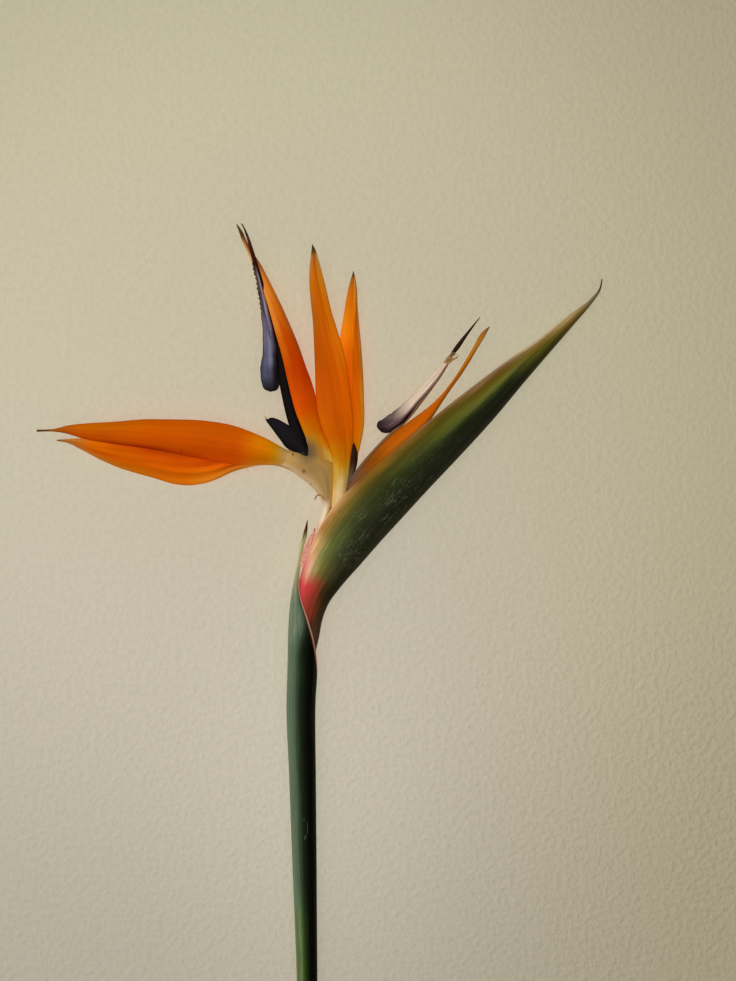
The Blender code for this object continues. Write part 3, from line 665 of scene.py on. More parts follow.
def spathe():
    """Boat-shaped beak: a keel below, two margins that meet towards the hooked tip, and an open mouth
    that holds the flowers. Faint ribs run its whole length."""
    half_width = ((0.0, 4.1), (0.08, 4.5), (0.18, 6.2), (0.3, 7.8), (0.36, 8.0), (0.47, 8.0), (0.56, 7.3),
        (0.65, 6.3), (0.74, 4.9), (0.83, 3.2), (0.9, 1.9), (0.95, 0.8), (1.0, 0.35))
    mouth = ((0.0, 172.0), (0.2, 165.0), (0.3, 145.0), (0.56, 142.0), (0.7, 160.0), (1.0, 170.0))
    droop = ((0.0, 0.0), (0.47, -0.1), (0.56, -0.8), (0.65, -1.8), (0.74, -3.1), (0.85, -3.9), (1.0, -4.2))
    wall = ((0.0, 2.0), (0.12, 1.8), (0.25, 1.1), (0.7, 1.0), (0.9, 0.6), (1.0, 0.15))

    def ribs(t, q):
        """Fine ribs over slow waves, and a groove beside each margin; all fade out at the tip."""
        slim = rise(1.0, 0.75, t)
        rib = 0.045 * np.sin(58 * q + 1.5 * waves(t * 6, 2)) + 0.10 * waves(q * 5 + t * 3, 9)
        groove = -0.25 * np.exp(-((np.abs(q) - 0.9) / 0.05) ** 2) * rise(0.3, 0.5, t)
        return slim * (rib + groove)

    marks = {"lip": lambda t, q: rise(0.94, 0.99, np.abs(q)) * rise(0.50, 0.60, t)}
    shell = trough(SPATHE_KEEL, SPATHE_MARGIN, half_width, mouth, wall, droop, 420, 61, ribs, marks)
    piece("spathe", spathe_finish(), "spathe_green", shell)


# colour rows of the spathe: its own colours, with painted shade that darkens the keel side and a painted
# highlight band along the upper side
SPATHE_ROWS = (
    (0.10, ((0.0, 70, 50, 32), (0.18, 84, 60, 36), (0.38, 46, 32, 14), (1.0, 40, 34, 18))),
    (0.145, ((0.0, 54, 42, 26), (0.16, 66, 44, 22), (0.30, 96, 46, 24), (0.45, 118, 44, 28),
        (0.7, 160, 56, 44), (1.0, 168, 60, 54))),
    (0.185, ((0.0, 50, 44, 25), (0.15, 38, 33, 14), (0.34, 58, 40, 18), (0.48, 118, 46, 28),
        (0.62, 168, 54, 46), (0.78, 186, 56, 58), (1.0, 192, 76, 78))),
    (0.225, ((0.0, 50, 47, 28), (0.15, 36, 35, 17), (0.34, 56, 54, 28), (0.5, 78, 74, 34),
        (0.62, 108, 98, 44), (0.74, 150, 130, 78), (0.86, 198, 156, 122), (0.94, 206, 134, 118),
        (1.0, 196, 104, 98))),
    (0.265, ((0.0, 56, 55, 40), (0.15, 37, 38, 22), (0.34, 44, 46, 26), (0.5, 64, 68, 35),
        (0.66, 92, 97, 46), (0.76, 124, 122, 62), (0.86, 168, 138, 82), (0.94, 214, 166, 116),
        (1.0, 212, 160, 122))),
    (0.30, ((0.0, 57, 54, 38), (0.15, 36, 36, 21), (0.34, 43, 46, 26), (0.5, 63, 68, 34),
        (0.67, 86, 90, 40), (0.8, 112, 98, 40), (0.9, 154, 114, 54), (1.0, 196, 142, 92))),
    (0.34, ((0.0, 57, 53, 37), (0.15, 35, 35, 20), (0.34, 42, 45, 26), (0.5, 58, 63, 29),
        (0.68, 74, 76, 29), (0.82, 112, 94, 34), (0.92, 164, 122, 62), (1.0, 212, 164, 112))),
    (0.42, ((0.0, 54, 51, 34), (0.15, 33, 35, 20), (0.32, 35, 39, 20), (0.48, 38, 44, 16),
        (0.62, 50, 52, 17), (0.74, 62, 58, 17), (0.84, 88, 76, 22), (0.93, 116, 84, 26),
        (1.0, 116, 78, 36))),
    (0.46, ((0.0, 54, 51, 34), (0.15, 33, 35, 20), (0.32, 34, 38, 20), (0.48, 38, 44, 16),
        (0.64, 55, 59, 20), (0.76, 72, 68, 20), (0.84, 98, 82, 27), (0.92, 128, 90, 26),
        (1.0, 146, 88, 20))),
    (0.50, ((0.0, 54, 52, 35), (0.15, 33, 35, 20), (0.32, 33, 37, 20), (0.48, 38, 44, 17),
        (0.64, 62, 66, 24), (0.78, 78, 70, 20), (0.9, 104, 80, 26), (1.0, 146, 92, 34))),
    (0.60, ((0.0, 54, 53, 36), (0.15, 34, 36, 22), (0.32, 30, 34, 17), (0.45, 40, 46, 19),
        (0.58, 74, 80, 30), (0.68, 88, 86, 26), (0.8, 84, 76, 18), (0.92, 100, 78, 24),
        (1.0, 134, 100, 58))),
    (0.72, ((0.0, 58, 53, 38), (0.15, 31, 32, 18), (0.32, 30, 35, 17), (0.45, 50, 60, 20),
        (0.58, 104, 104, 44), (0.7, 92, 78, 16), (0.82, 100, 74, 26), (0.92, 132, 100, 66),
        (1.0, 178, 150, 122))),
    (0.83, ((0.0, 90, 86, 56), (0.15, 50, 51, 15), (0.45, 88, 82, 22), (0.65, 114, 92, 28),
        (0.82, 144, 118, 66), (1.0, 186, 166, 130))),
    (0.90, ((0.0, 104, 88, 50), (0.25, 92, 76, 26), (0.5, 122, 98, 46), (0.75, 156, 132, 84),
        (1.0, 188, 166, 124))),
    (0.965, ((0.0, 112, 96, 62), (0.5, 112, 94, 60), (1.0, 124, 106, 72))),
    (0.985, ((0.0, 62, 46, 30), (1.0, 74, 54, 36))),
)


def spathe_finish():
    """Green beak: red at the foot, pale pink and cream along the lip low down, olive and brown above,
    with a lighter band there that is a painted highlight, darkest beside the keel by painted shade, tan
    towards the point, with fine pale scuffs along its lower half."""
    f = Finish("spathe_skin", 0.45, 0.03)
    up = f.mark("up")
    fibre = f.grain(150.0, 5.0, 5.0, 0.62)
    cloud = f.grain(14.0, 7.0, 4.0)
    place = f.wandering(f.wandering(up, cloud, 0.14), fibre, 0.10)
    # own colour plus painted shade beside the keel and a painted highlight band above
    skin = f.patchwork(f.wandering(f.along, cloud, 0.02), place, SPATHE_ROWS)
    along_beak = f.stretched(f.object, (1.0, 1.0, 1.0), (0, 0, 0.72))
    scratch = f.noise(f.stretched(along_beak, (2600.0, 170.0, 900.0)), 1.0, 2.0, 0.7)
    speck = f.noise(f.object, 1700.0, 3.0, 0.7)
    scuff = f.math("MAXIMUM", f.band(scratch, 0.58, 0.68), f.band(speck, 0.58, 0.72))
    patch = f.band(f.noise(f.object, 180.0), 0.42, 0.62)
    lower_half = f.times(f.band(f.along, 0.22, 0.28), f.band(f.along, 0.42, 0.62, 1.0, 0.0))
    scuff = f.times(scuff, patch, lower_half, f.band(up, 0.8, 0.6), f.band(up, 0.04, 0.15))
    skin = f.scaled(skin, f.uneven((fibre, 1.3), (cloud, 0.9)))
    skin = f.over(skin, (128, 136, 104), scuff, 0.55)
    skin = f.over(skin, (150, 108, 84), f.mark("lip"), 0.6)
    skin = f.over(skin, (140, 146, 90), f.mark("inside"))
    return f.paint(skin, f.band(cloud, 0.3, 0.7, 0.4, 0.56), f.math("ADD", fibre, scuff))


# ---------------------------------------------------------------- flower 1

def cream_finish():
    """Pale fleshy foot: tan, lighter along its outer side, with an ochre streak along its right side,
    greyed by painted shade where the dark petals leave it, whitish where it enters the spathe beside a
    brown hollow, and a few brown nicks."""
    f = Finish("tube_flesh", 0.5, 0.04)
    up = f.mark("up")
    cloud = f.noise(f.object, 170.0, 4.0)
    fibre = f.grain(30.0, 3.0, 4.0)
    side = f.wandering(up, fibre, 0.16)
    skin = f.ramp(cloud, ((0.25, 148, 114, 62), (0.55, 157, 123, 70), (0.85, 168, 134, 82)))
    skin = f.over(skin, (184, 143, 80), f.near(-13.0, 77.0, 10.0), 0.9)
    skin = f.over(skin, (194, 164, 122), f.band(side, 0.30, 0.02), 0.9)
    skin = f.over(skin, (200, 140, 44), f.near(5.4, 79.0, 9.0), 0.85)
    skin = f.over(skin, (226, 174, 72), f.band(side, 0.62, 0.86), f.band(f.along, 0.36, 0.52), 0.9)
    # painted grey shade where the dark petals leave the flower's foot
    skin = f.over(skin, FOOT_SHADE_GREY, f.near(*FOOT_SHADE_SPOT), 0.85)
    low = f.math("SUBTRACT", 1.0, f.level(55.5, 61.5))
    skin = f.over(skin, (224, 206, 178), low, f.band(up, 0.72, 0.45))
    skin = f.over(skin, (222, 170, 104), low, f.band(up, 0.60, 0.80))
    deep = f.math("SUBTRACT", 1.0, f.level(49.0, 53.5))
    skin = f.over(skin, (226, 180, 154), deep, 0.85)
    for x, y, size in ((-9.9, 78.1, 0.8), (-5.6, 71.4, 1.0), (-4.6, 75.4, 0.4), (-2.8, 66.4, 0.4)):
        skin = f.over(skin, (100, 62, 30), f.near(x, y, size, 1.3), 0.95)
    return f.paint(skin, f.band(cloud, 0.3, 0.7, 0.44, 0.58), fibre, 0.2)


def flower_1_tube(finish):
    """Foot of the outer flower: one fleshy body that gathers the sepals and bends down into the
    spathe's mouth. It is a plump leaf between its outer and its inner edge."""
    outer = [(-15.6, 74.4), (-11.2, 72.4), (-7.8, 69.5), (-4.8, 67.3), (-2.2, 65.0), (-0.2, 62.6),
        (1.3, 60.0), (1.7, 57.4), (1.2, 54.4), (0.0, 51.2), (-0.6, 47.0), (-0.2, 43.6)]
    inner = [(-15.2, 79.6), (-10.4, 80.4), (-5.2, 81.0), (-0.4, 80.6), (4.0, 78.4), (6.8, 74.6),
        (7.2, 70.0), (7.0, 65.4), (6.6, 61.0), (5.4, 55.8), (4.4, 50.0), (4.6, 43.6)]
    heights = (((0.0, 0.0), (0.5, 0.0), (1.0, 0.0)), ((0.0, 0.0), (0.5, -0.8), (1.0, 0.0)))
    crown = ((0.0, 0.0), (0.1, 1.0), (0.2, 1.6), (0.4, 1.3), (0.7, 0.5), (1.0, 0.3))
    thick = ((0.0, 0.4), (0.1, 2.4), (0.2, 4.0), (0.45, 6.6), (0.75, 5.2), (1.0, 3.8))

    def relief(t, s):
        """Uneven flesh, with one long swelling right of its middle."""
        return 0.10 * waves(s * 4 + t * 6, 21) + 0.25 * np.exp(-((s - 0.45) / 0.18) ** 2)

    shell = blade(outer, inner, heights, crown, thick, 130, 61, relief=relief, thins=2)
    piece("flower_1_tube", finish, "tube_cream", shell)


def flower_1_sepal_front(finish):
    """Upper sepal thrown to the left: a long arched blade whose lower edge lies over the rear sepal."""
    lower = [(-5.0, 70.0), (-13.2, 73.4), (-22.4, 74.0), (-31.2, 74.2), (-40.8, 75.2), (-49.4, 77.0),
        (-61.6, 79.4), (-72.3, 81.1), (-84.6, 82.8), (-94.0, 84.6), (-100.8, 86.6), (-106.0, 87.3),
        (-112.0, 87.2)]
    upper = [(-4.0, 76.0), (-14.6, 81.2), (-19.5, 84.0), (-27.1, 87.4), (-34.8, 90.0), (-43.0, 91.4),
        (-61.6, 92.2), (-69.2, 92.2), (-81.5, 91.2), (-92.2, 90.6), (-99.9, 89.7), (-105.2, 88.4),
        (-108.5, 88.1), (-112.0, 88.1)]
    heights = (((0.0, -1.6), (0.1, -0.4), (0.2, 0.4), (0.35, 1.0), (0.5, 2.4), (0.7, 3.4), (1.0, 3.0)),
        ((0.0, -1.4), (0.1, 0.2), (0.2, 1.6), (0.3, 2.2), (0.7, 3.2), (1.0, 3.0)))
    crown = ((0.0, 0.0), (0.08, 0.8), (0.2, 2.6), (0.45, 3.4), (0.8, 1.6), (1.0, 0.1))
    thick = ((0.0, 1.6), (0.2, 1.1), (0.8, 0.8), (1.0, 0.6))

    def relief(t, s):
        """A furrow along the middle, the curled tip, and uneven waves."""
        furrow = -0.35 * np.exp(-((s - 0.15) / 0.16) ** 2) * rise(0.1, 0.3, t) * rise(0.95, 0.7, t)
        curl = 0.9 * np.exp(-((t - 0.985) / 0.012) ** 2)
        return furrow + curl + 0.12 * waves(s * 3 + t * 9, 31)

    def crease(t, s):
        """Dark line along the lower edge, painted shade where it lies over the rear sepal, and a fainter
        one along the upper edge.
        """
        return (rise(0.945, 0.985, -s) * rise(0.36, 0.5, t) * 0.8
                + rise(0.96, 1.0, s) * rise(0.3, 0.4, t) * 0.4)

    shell = blade(lower, upper, heights, crown, thick, relief=relief, marks={"rim": crease})
    piece("flower_1_sepal_front", finish, "sepal_orange", shell)


def flower_1_sepal_rear(finish):
    """Lower sepal thrown to the left, which droops to the table in its middle."""
    lower = [(-5.0, 67.4), (-10.0, 71.2), (-16.0, 73.6), (-23.3, 73.9), (-28.6, 72.9), (-34.8, 71.1),
        (-40.2, 68.6), (-44.7, 67.0), (-51.6, 65.9), (-58.5, 66.5), (-66.2, 68.8), (-73.1, 70.7),
        (-80.7, 73.1), (-88.4, 76.5), (-96.0, 80.6), (-101.0, 83.0), (-105.2, 83.8)]
    upper = [(-4.0, 74.6), (-14.4, 79.0), (-31.2, 82.0), (-52.0, 84.0), (-72.0, 84.8), (-86.0, 85.0),
        (-96.0, 84.8), (-101.2, 84.5), (-105.2, 84.2)]
    heights = (((0.0, -1.4), (0.2, -1.6), (0.35, -4.4), (0.5, -7.2), (0.75, -7.2), (1.0, -5.0)),
        ((0.0, -1.0), (0.2, -0.6), (0.35, -1.6), (0.5, -2.6), (0.75, -2.0), (1.0, -4.8)))
    crown = ((0.0, 0.2), (0.3, 1.0), (0.6, 1.6), (1.0, 0.0))
    thick = ((0.0, 1.6), (0.2, 1.1), (0.8, 0.8), (1.0, 0.5))

    def relief(t, s):
        """One fold near the lower edge, slanting pleats over the middle, and uneven waves."""
        crease = 0.8 * np.exp(-((s + 0.42) / 0.12) ** 2) * rise(0.15, 0.35, t) * rise(0.75, 0.5, t)
        pleats = 0.125 * np.sin(s * 14 + t * 5) * rise(0.2, 0.4, t) * rise(0.95, 0.7, t)
        return crease + pleats + 0.12 * waves(s * 3 + t * 9, 37)

    shell = blade(lower, upper, heights, crown, thick, relief=relief, marks={"rim": rim_mark()})
    piece("flower_1_sepal_rear", finish, "sepal_orange", shell)


def flower_1_sepal_upright(finish):
    """Upright sepal folded like a boat behind the tongue, its keel to the right."""
    keel = [(4.0, 70.0), (6.6, 75.0), (5.2, 80.0), (3.4, 84.6), (1.2, 90.0), (-0.6, 100.4), (-3.0, 108.6),
        (-4.6, 112.8), (-7.8, 122.0), (-11.1, 130.0), (-14.4, 137.4), (-17.6, 144.0), (-20.9, 150.6),
        (-23.4, 155.2), (-26.4, 159.6), (-28.6, 163.6), (-30.2, 167.4), (-32.4, 170.6)]
    margin = [(-3.4, 70.0), (-3.8, 76.0), (-4.0, 82.0), (-6.2, 88.4), (-8.8, 95.0), (-10.6, 101.6),
        (-12.6, 110.0), (-14.9, 119.7), (-16.7, 125.8), (-18.6, 132.8), (-20.6, 139.6), (-23.2, 146.6),
        (-25.6, 152.4), (-28.0, 158.6), (-30.0, 162.8), (-31.4, 166.6), (-32.8, 170.5)]
    half_width = ((0.0, 1.4), (0.05, 2.8), (0.12, 3.9), (0.25, 4.2), (0.6, 3.2), (0.75, 1.8), (0.85, 1.1),
        (1.0, 0.3))
    rest = ((0.0, 0.0), (0.5, -0.3), (0.7, -1.6), (0.85, -2.4), (1.0, -2.8))
    wall = ((0.0, 0.9), (0.8, 0.7), (1.0, 0.15))
    relief = ripple(0.10, 4, 8, 41)
    marks = {"rim": lambda t, q: rise(0.10, 0.0, np.abs(q)) * 0.3}
    shell = trough(keel, margin, half_width, 118.0, wall, rest, 220, 31, relief, marks)
    piece("flower_1_sepal_upright", finish, "sepal_orange", shell)


SLATE_ROWS = (
    (0.04, ((0.0, 30, 26, 28), (0.3, 30, 26, 26), (0.6, 30, 26, 30), (0.9, 38, 34, 38))),
    (0.16, ((0.08, 14, 12, 14), (0.25, 31, 22, 28), (0.5, 66, 64, 80), (0.75, 72, 74, 96),
        (1.0, 60, 58, 72))),
    (0.27, ((0.08, 15, 9, 9), (0.25, 48, 42, 50), (0.5, 112, 112, 134), (0.75, 92, 89, 112),
        (1.0, 70, 66, 80))),
    (0.39, ((0.06, 50, 42, 50), (0.25, 96, 92, 112), (0.5, 114, 110, 134), (0.75, 108, 105, 122),
        (1.0, 84, 78, 88))),
    (0.50, ((0.06, 124, 116, 136), (0.25, 144, 140, 166), (0.5, 102, 97, 120), (0.75, 106, 96, 108),
        (1.0, 90, 82, 88))),
    (0.61, ((0.06, 120, 102, 112), (0.25, 156, 148, 164), (0.5, 102, 97, 110), (0.75, 86, 72, 74),
        (1.0, 80, 66, 66))),
    (0.72, ((0.06, 144, 114, 120), (0.25, 160, 136, 148), (0.5, 84, 74, 80), (0.75, 68, 58, 58),
        (1.0, 60, 46, 40))),
    (0.84, ((0.06, 116, 84, 82), (0.25, 150, 128, 132), (0.5, 116, 100, 104), (0.75, 80, 66, 64),
        (1.0, 50, 36, 30))),
    (0.96, ((0.06, 52, 22, 10), (0.5, 48, 18, 8), (1.0, 56, 32, 20))),
)


def slate_finish():
    """Blue-black petal skin: slate lobes with lighter streaks, browner towards their tip, a dark torn
    line of painted fold shade along their upper half and nearly black at their barbs; a black shaft,
    brown at its point, whose foot fades into the flesh."""
    f = Finish("slate_petal", 0.48, 0.03)
    fibre = f.grain(30.0, 3.0, 5.0, 0.65)
    cloud = f.noise(f.object, 300.0)
    broad = f.grain(10.0, 2.0, 2.0)
    up = f.wandering(f.mark("up"), broad, 0.10)
    skin = f.patchwork(f.wandering(f.along, cloud, 0.03), up, SLATE_ROWS)
    skin = f.scaled(skin, f.uneven((fibre, 1.3), (broad, 0.5), (cloud, 0.4)))
    # dark torn line: painted shade of a fold in the lobe
    skin = f.over(skin, (26, 16, 20), f.mark("groove"))
    skin = f.over(skin, (24, 18, 24), f.mark("rim"))
    stalk = f.ramp(f.along, ((0.0, 84, 68, 46), (0.022, 56, 46, 36), (0.05, 14, 10, 9), (0.78, 14, 8, 6),
        (0.86, 46, 18, 5), (0.98, 88, 46, 22)))
    skin = f.mix(f.mark("shaft"), skin, stalk)
    return f.paint(skin, f.band(fibre, 0.2, 0.8, 0.42, 0.6), fibre, 0.35)


def flower_1_tongue(finish):
    """Arrow-shaped tongue: a dark shaft that thins to a black point, and two lobes folded round it
    that end below in rounded barbs. The outer edge of the lobes is torn."""
    path = [(-4.4, 75.6, 2.4), (-5.6, 80.0, 2.2), (-8.0, 87.0, 1.4), (-10.4, 94.4, 0.9),
        (-12.2, 101.6, 0.6), (-13.6, 108.0, 0.3), (-14.8, 115.0, -0.3), (-16.6, 122.0, -0.8),
        (-19.8, 134.0, -0.9), (-22.6, 146.0, -0.3), (-24.8, 154.0, 0.8), (-26.6, 160.0, 1.3),
        (-28.2, 165.4, 1.4), (-29.3, 168.2, 1.4), (-30.2, 170.2, 1.4)]
    radius = ((0.0, 1.4), (0.06, 2.0), (0.14, 2.5), (0.22, 2.3), (0.32, 2.1), (0.45, 2.0), (0.55, 1.6),
        (0.7, 1.1), (0.80, 0.95), (0.9, 0.9), (0.95, 0.6), (1.0, 0.2))
    shaft = rod(path, radius, 0.62, 200, 28, lambda t, a: 0.10 * np.cos(2 * a + 3 * t))
    shaft.marks["shaft"] = np.ones(len(shaft.points))
    keel = [(-18.6, 103.3), (-16.4, 104.0), (-15.2, 107.0), (-15.2, 112.0), (-15.9, 118.0), (-18.2, 128.6),
        (-20.8, 140.0), (-23.2, 149.0), (-25.2, 157.0)]
    edge = [(-19.2, 103.3), (-21.4, 104.3), (-22.7, 107.6), (-22.9, 112.8), (-22.1, 119.0), (-22.3, 130.4),
        (-23.7, 141.6), (-24.6, 147.0), (-25.6, 151.0), (-26.4, 157.4)]

    def torn(t, q):
        """Ragged along the upper part of both margins, and slightly wavy all along them."""
        ragged = 0.30 * waves(t * 150, 55, 7) * rise(0.52, 0.66, t) * rise(0.88, 1.0, np.abs(q))
        return ragged + 0.12 * waves(t * 30, 57) * np.abs(q) ** 4

    def groove(t, q):
        """Ragged line of painted fold shade that wanders from the outer edge near the tip to the middle of
        the upper lobe.
        """
        line = knots(((0.38, 0.48), (0.47, 0.53), (0.58, 0.62), (0.66, 0.80), (0.76, 0.93)), t)
        line = line + 0.035 * waves(t * 150, 58, 7)
        return np.exp(-((q - line) / 0.05) ** 2) * rise(0.38, 0.44, t) * rise(0.80, 0.74, t) * 0.9

    marks = {"rim": lambda t, q: rise(0.90, 0.99, np.abs(q)) * 0.6, "groove": groove}
    relief = lambda t, q: 0.16 * np.sin(np.abs(q) * 16 + 2 * t) + 0.12 * waves(q * 6 + t * 14, 59)
    half_width = ((0.0, 0.5), (0.06, 1.5), (0.3, 2.1), (0.7, 1.5), (1.0, 0.6))
    mouth, rest = ((0.0, 128.0), (1.0, 122.0)), ((0.0, 0.1), (1.0, 0.8))
    lobes = trough(keel, edge, half_width, mouth, 0.4, rest, 220, 27, relief, marks, torn)
    piece("flower_1_tongue", finish, "petal_slate", shaft, lobes)


def flower_1_hood_petal(finish):
    """Small third petal: a dark boat that holds the tongue's foot, with a pale withered point."""
    keel = [(-4.4, 72.0), (-6.1, 76.6), (-8.3, 78.5), (-10.4, 79.5), (-12.6, 80.8), (-14.8, 83.6),
        (-17.4, 87.1), (-19.4, 89.8), (-20.6, 91.4), (-21.3, 93.4)]
    margin = [(-3.0, 74.0), (-4.4, 79.0), (-6.6, 84.0), (-9.4, 88.0), (-11.8, 90.0), (-13.9, 91.2),
        (-16.5, 92.5), (-18.9, 92.9), (-20.4, 92.4), (-21.1, 93.6)]
    half_width = ((0.0, 1.8), (0.25, 2.2), (0.5, 2.1), (0.85, 1.2), (0.95, 0.5), (1.0, 0.2))
    marks = {
        "rim": lambda t, q: rise(0.86, 0.99, np.abs(q)) * 0.5,
        "dry": lambda t, q: rise(0.955, 0.98, t),
        "foot": lambda t, q: rise(0.07, 0.0, t),
    }
    wall, rest = ((0.0, 0.4), (0.8, 0.35), (1.0, 0.1)), ((0.0, 1.6), (0.4, 0.8), (1.0, 0.0))
    relief = ripple(0.12, 6, 9, 61)
    shell = trough(keel, margin, half_width, 118.0, wall, rest, 110, 21, relief, marks)
    piece("flower_1_hood_petal", finish, "petal_ink", shell)


INK = ((0.3, 12, 10, 12), (0.55, 19, 17, 20), (0.8, 36, 34, 42))
BROWN_INK = ((0.3, 34, 14, 6), (0.55, 44, 22, 12), (0.8, 92, 74, 70))


def ink_finish(name, shades):
    """Near-black skin that fades into the flesh at its foot, with a pale dry point."""
    f = Finish(name, 0.46, 0.03)
    fibre = f.grain(24.0, 3.0, 5.0, 0.65)
    skin = f.over(f.ramp(fibre, shades), (12, 6, 8), f.mark("rim"))
    skin = f.over(skin, (106, 86, 58), f.mark("foot"), 0.9)
    skin = f.over(skin, (160, 146, 112), f.mark("dry"))
    return f.paint(skin, f.band(fibre, 0.2, 0.8, 0.38, 0.55), fibre, 0.35)


def flower_1_stigma(finish):
    """Thin dark thread that stands out beside the tongue's point."""
    path = [(-28.5, 165.6, 2.3), (-28.9, 167.4, 2.4), (-29.8, 169.0, 2.4), (-30.6, 170.4, 2.4)]
    piece("flower_1_stigma", finish, "petal_ink", rod(path, ((0.0, 0.28), (1.0, 0.14)), 1.0, 24, 12))


# ---------------------------------------------------------------- flower 2

def flower_2_tube(finish):
    """Foot of the inner flower, deep in the spathe's mouth."""
    path = [(12.8, 42.0, 0.0), (10.8, 50.0, 0.0), (9.9, 57.0, 0.0), (9.6, 62.0, 0.0), (9.4, 66.5, 0.0)]
    ridges = lambda t, a: 0.08 * np.sin(3 * a) + 0.05 * waves(a * 2 + t * 6, 23)
    shell = rod(path, ((0.0, 2.0), (0.6, 2.1), (1.0, 1.9)), 0.8, 70, 48, ridges)
    piece("flower_2_tube", finish, "tube_cream", shell)


def flower_2_sepal_front(finish):
    """Tall sepal in front: broad below its middle, arched, with a shallow ridge left of centre."""
    left = [(5.4, 57.0), (5.9, 64.0), (6.2, 71.0), (5.6, 77.0), (4.3, 82.0), (2.4, 86.6), (0.4, 93.0),
        (-0.7, 100.4), (-1.1, 110.0), (-1.5, 121.0), (-2.0, 131.0), (-2.8, 139.0), (-3.4, 146.0),
        (-3.3, 153.0), (-2.7, 158.4), (-2.3, 162.0)]
    right = [(11.2, 57.0), (11.4, 64.0), (12.4, 71.0), (13.2, 77.6), (14.0, 83.2), (14.2, 90.0),
        (13.6, 98.0), (12.5, 107.6), (11.7, 112.8), (9.7, 121.4), (7.7, 128.0), (5.6, 134.8), (3.6, 143.0),
        (2.0, 149.6), (0.4, 155.6), (-1.2, 160.4), (-2.1, 162.0)]
    heights = (((0.0, 2.0), (0.3, 3.0), (1.0, 2.4)), ((0.0, 2.0), (0.3, 2.6), (1.0, 2.4)))
    crown = ((0.0, 0.5), (0.3, 0.9), (0.7, 0.7), (1.0, 0.1))
    ridge = (((0.0, 0.1), (0.3, 0.4), (0.8, 0.3), (1.0, 0.05)), ((0.0, -0.2), (0.5, -0.3), (1.0, -0.2)))
    thick = ((0.0, 1.3), (0.2, 1.0), (1.0, 0.5))
    relief = ripple(0.10, 4, 8, 71)
    shell = blade(left, right, heights, crown, thick, fold=ridge, relief=relief, marks={"rim": rim_mark()})
    piece("flower_2_sepal_front", finish, "sepal_orange", shell)


def flower_2_sepal_rear(finish):
    """Sepal behind it, folded along its middle so that its left half catches the light."""
    left = [(7.8, 62.0), (7.2, 72.0), (6.6, 84.0), (6.2, 98.0), (7.0, 112.0), (8.6, 124.0), (9.9, 132.0),
        (11.0, 139.0), (12.2, 145.2), (13.4, 149.6), (14.1, 151.8)]
    right = [(11.2, 62.0), (13.4, 69.0), (15.6, 76.4), (17.2, 83.0), (18.4, 90.0), (18.4, 101.0),
        (17.9, 113.0), (17.2, 123.0), (16.4, 131.0), (15.8, 139.0), (15.6, 144.6), (14.9, 149.0),
        (14.3, 151.8)]
    heights = (((0.0, -2.0), (0.3, -3.2), (1.0, -2.6)), ((0.0, -2.0), (0.3, -3.0), (1.0, -2.6)))
    ridge = (((0.0, 0.3), (0.3, 1.6), (0.6, 2.0), (0.9, 1.0), (1.0, 0.05)), ((0.0, 0.2), (0.4, 0.1),
        (0.72, 0.25), (0.86, 0.75), (1.0, 0.6)))
    crown, thick = ((0.0, 0.4), (0.5, 0.3), (1.0, 0.1)), ((0.0, 1.2), (0.2, 0.9), (1.0, 0.5))
    relief = ripple(0.08, 4, 8, 73)
    shell = blade(left, right, heights, crown, thick, fold=ridge, relief=relief, marks={"rim": rim_mark()})
    piece("flower_2_sepal_rear", finish, "sepal_orange", shell)


def flower_2_sepal_low(finish):
    """Third sepal, folded like a boat along the spathe's mouth, seen on edge."""
    keel = [(13.6, 60.0), (24.0, 70.0), (34.0, 79.6), (42.0, 87.6), (46.8, 94.6), (49.6, 98.9),
        (53.0, 104.0), (56.9, 109.4), (60.9, 115.6), (64.4, 121.6), (67.2, 126.2), (68.7, 129.3)]
    margin = [(12.0, 65.4), (15.6, 70.8), (20.0, 76.4), (25.4, 82.6), (31.6, 87.8), (38.6, 93.0),
        (44.7, 97.6), (49.6, 102.4), (54.1, 108.2), (58.2, 114.5), (62.2, 121.3), (65.8, 127.3),
        (68.5, 129.4)]
    half_width = ((0.0, 2.2), (0.5, 2.7), (0.8, 1.7), (1.0, 0.35))
    marks = {"rim": lambda t, q: rise(0.9, 0.99, np.abs(q)) * 0.3}
    wall, rest = ((0.0, 0.6), (0.8, 0.6), (1.0, 0.15)), ((0.0, 0.0), (1.0, 0.3))
    relief = ripple(0.08, 5, 9, 79)
    shell = trough(keel, margin, half_width, 115.0, wall, rest, 200, 25, relief, marks)
    piece("flower_2_sepal_low", finish, "sepal_orange", shell)


def pale_finish():
    """Withering tongue: warm pinkish white along its top, violet-black along its lower rim and at its
    barbs, grey-brown on its shaft."""
    f = Finish("pale_petal", 0.5, 0.1)
    fibre = f.grain(34.0, 5.0, 5.0, 0.6)
    pale = f.ramp(fibre, ((0.25, 204, 172, 148), (0.5, 224, 198, 172), (0.8, 234, 214, 194)))
    bruise = f.ramp(fibre, ((0.3, 62, 40, 42), (0.8, 132, 104, 104)))
    skin = f.over(f.mix(f.mark("bruise"), pale, bruise), (30, 16, 20), f.mark("rim"))
    brown = f.ramp(fibre, ((0.3, 104, 66, 36), (0.8, 146, 108, 74)))
    stalk = f.mix(f.band(f.along, 0.02, 0.14), colour(92, 76, 70), brown)
    skin = f.mix(f.mark("shaft"), skin, stalk)
    return f.paint(skin, f.band(fibre, 0.2, 0.8, 0.44, 0.6), fibre)


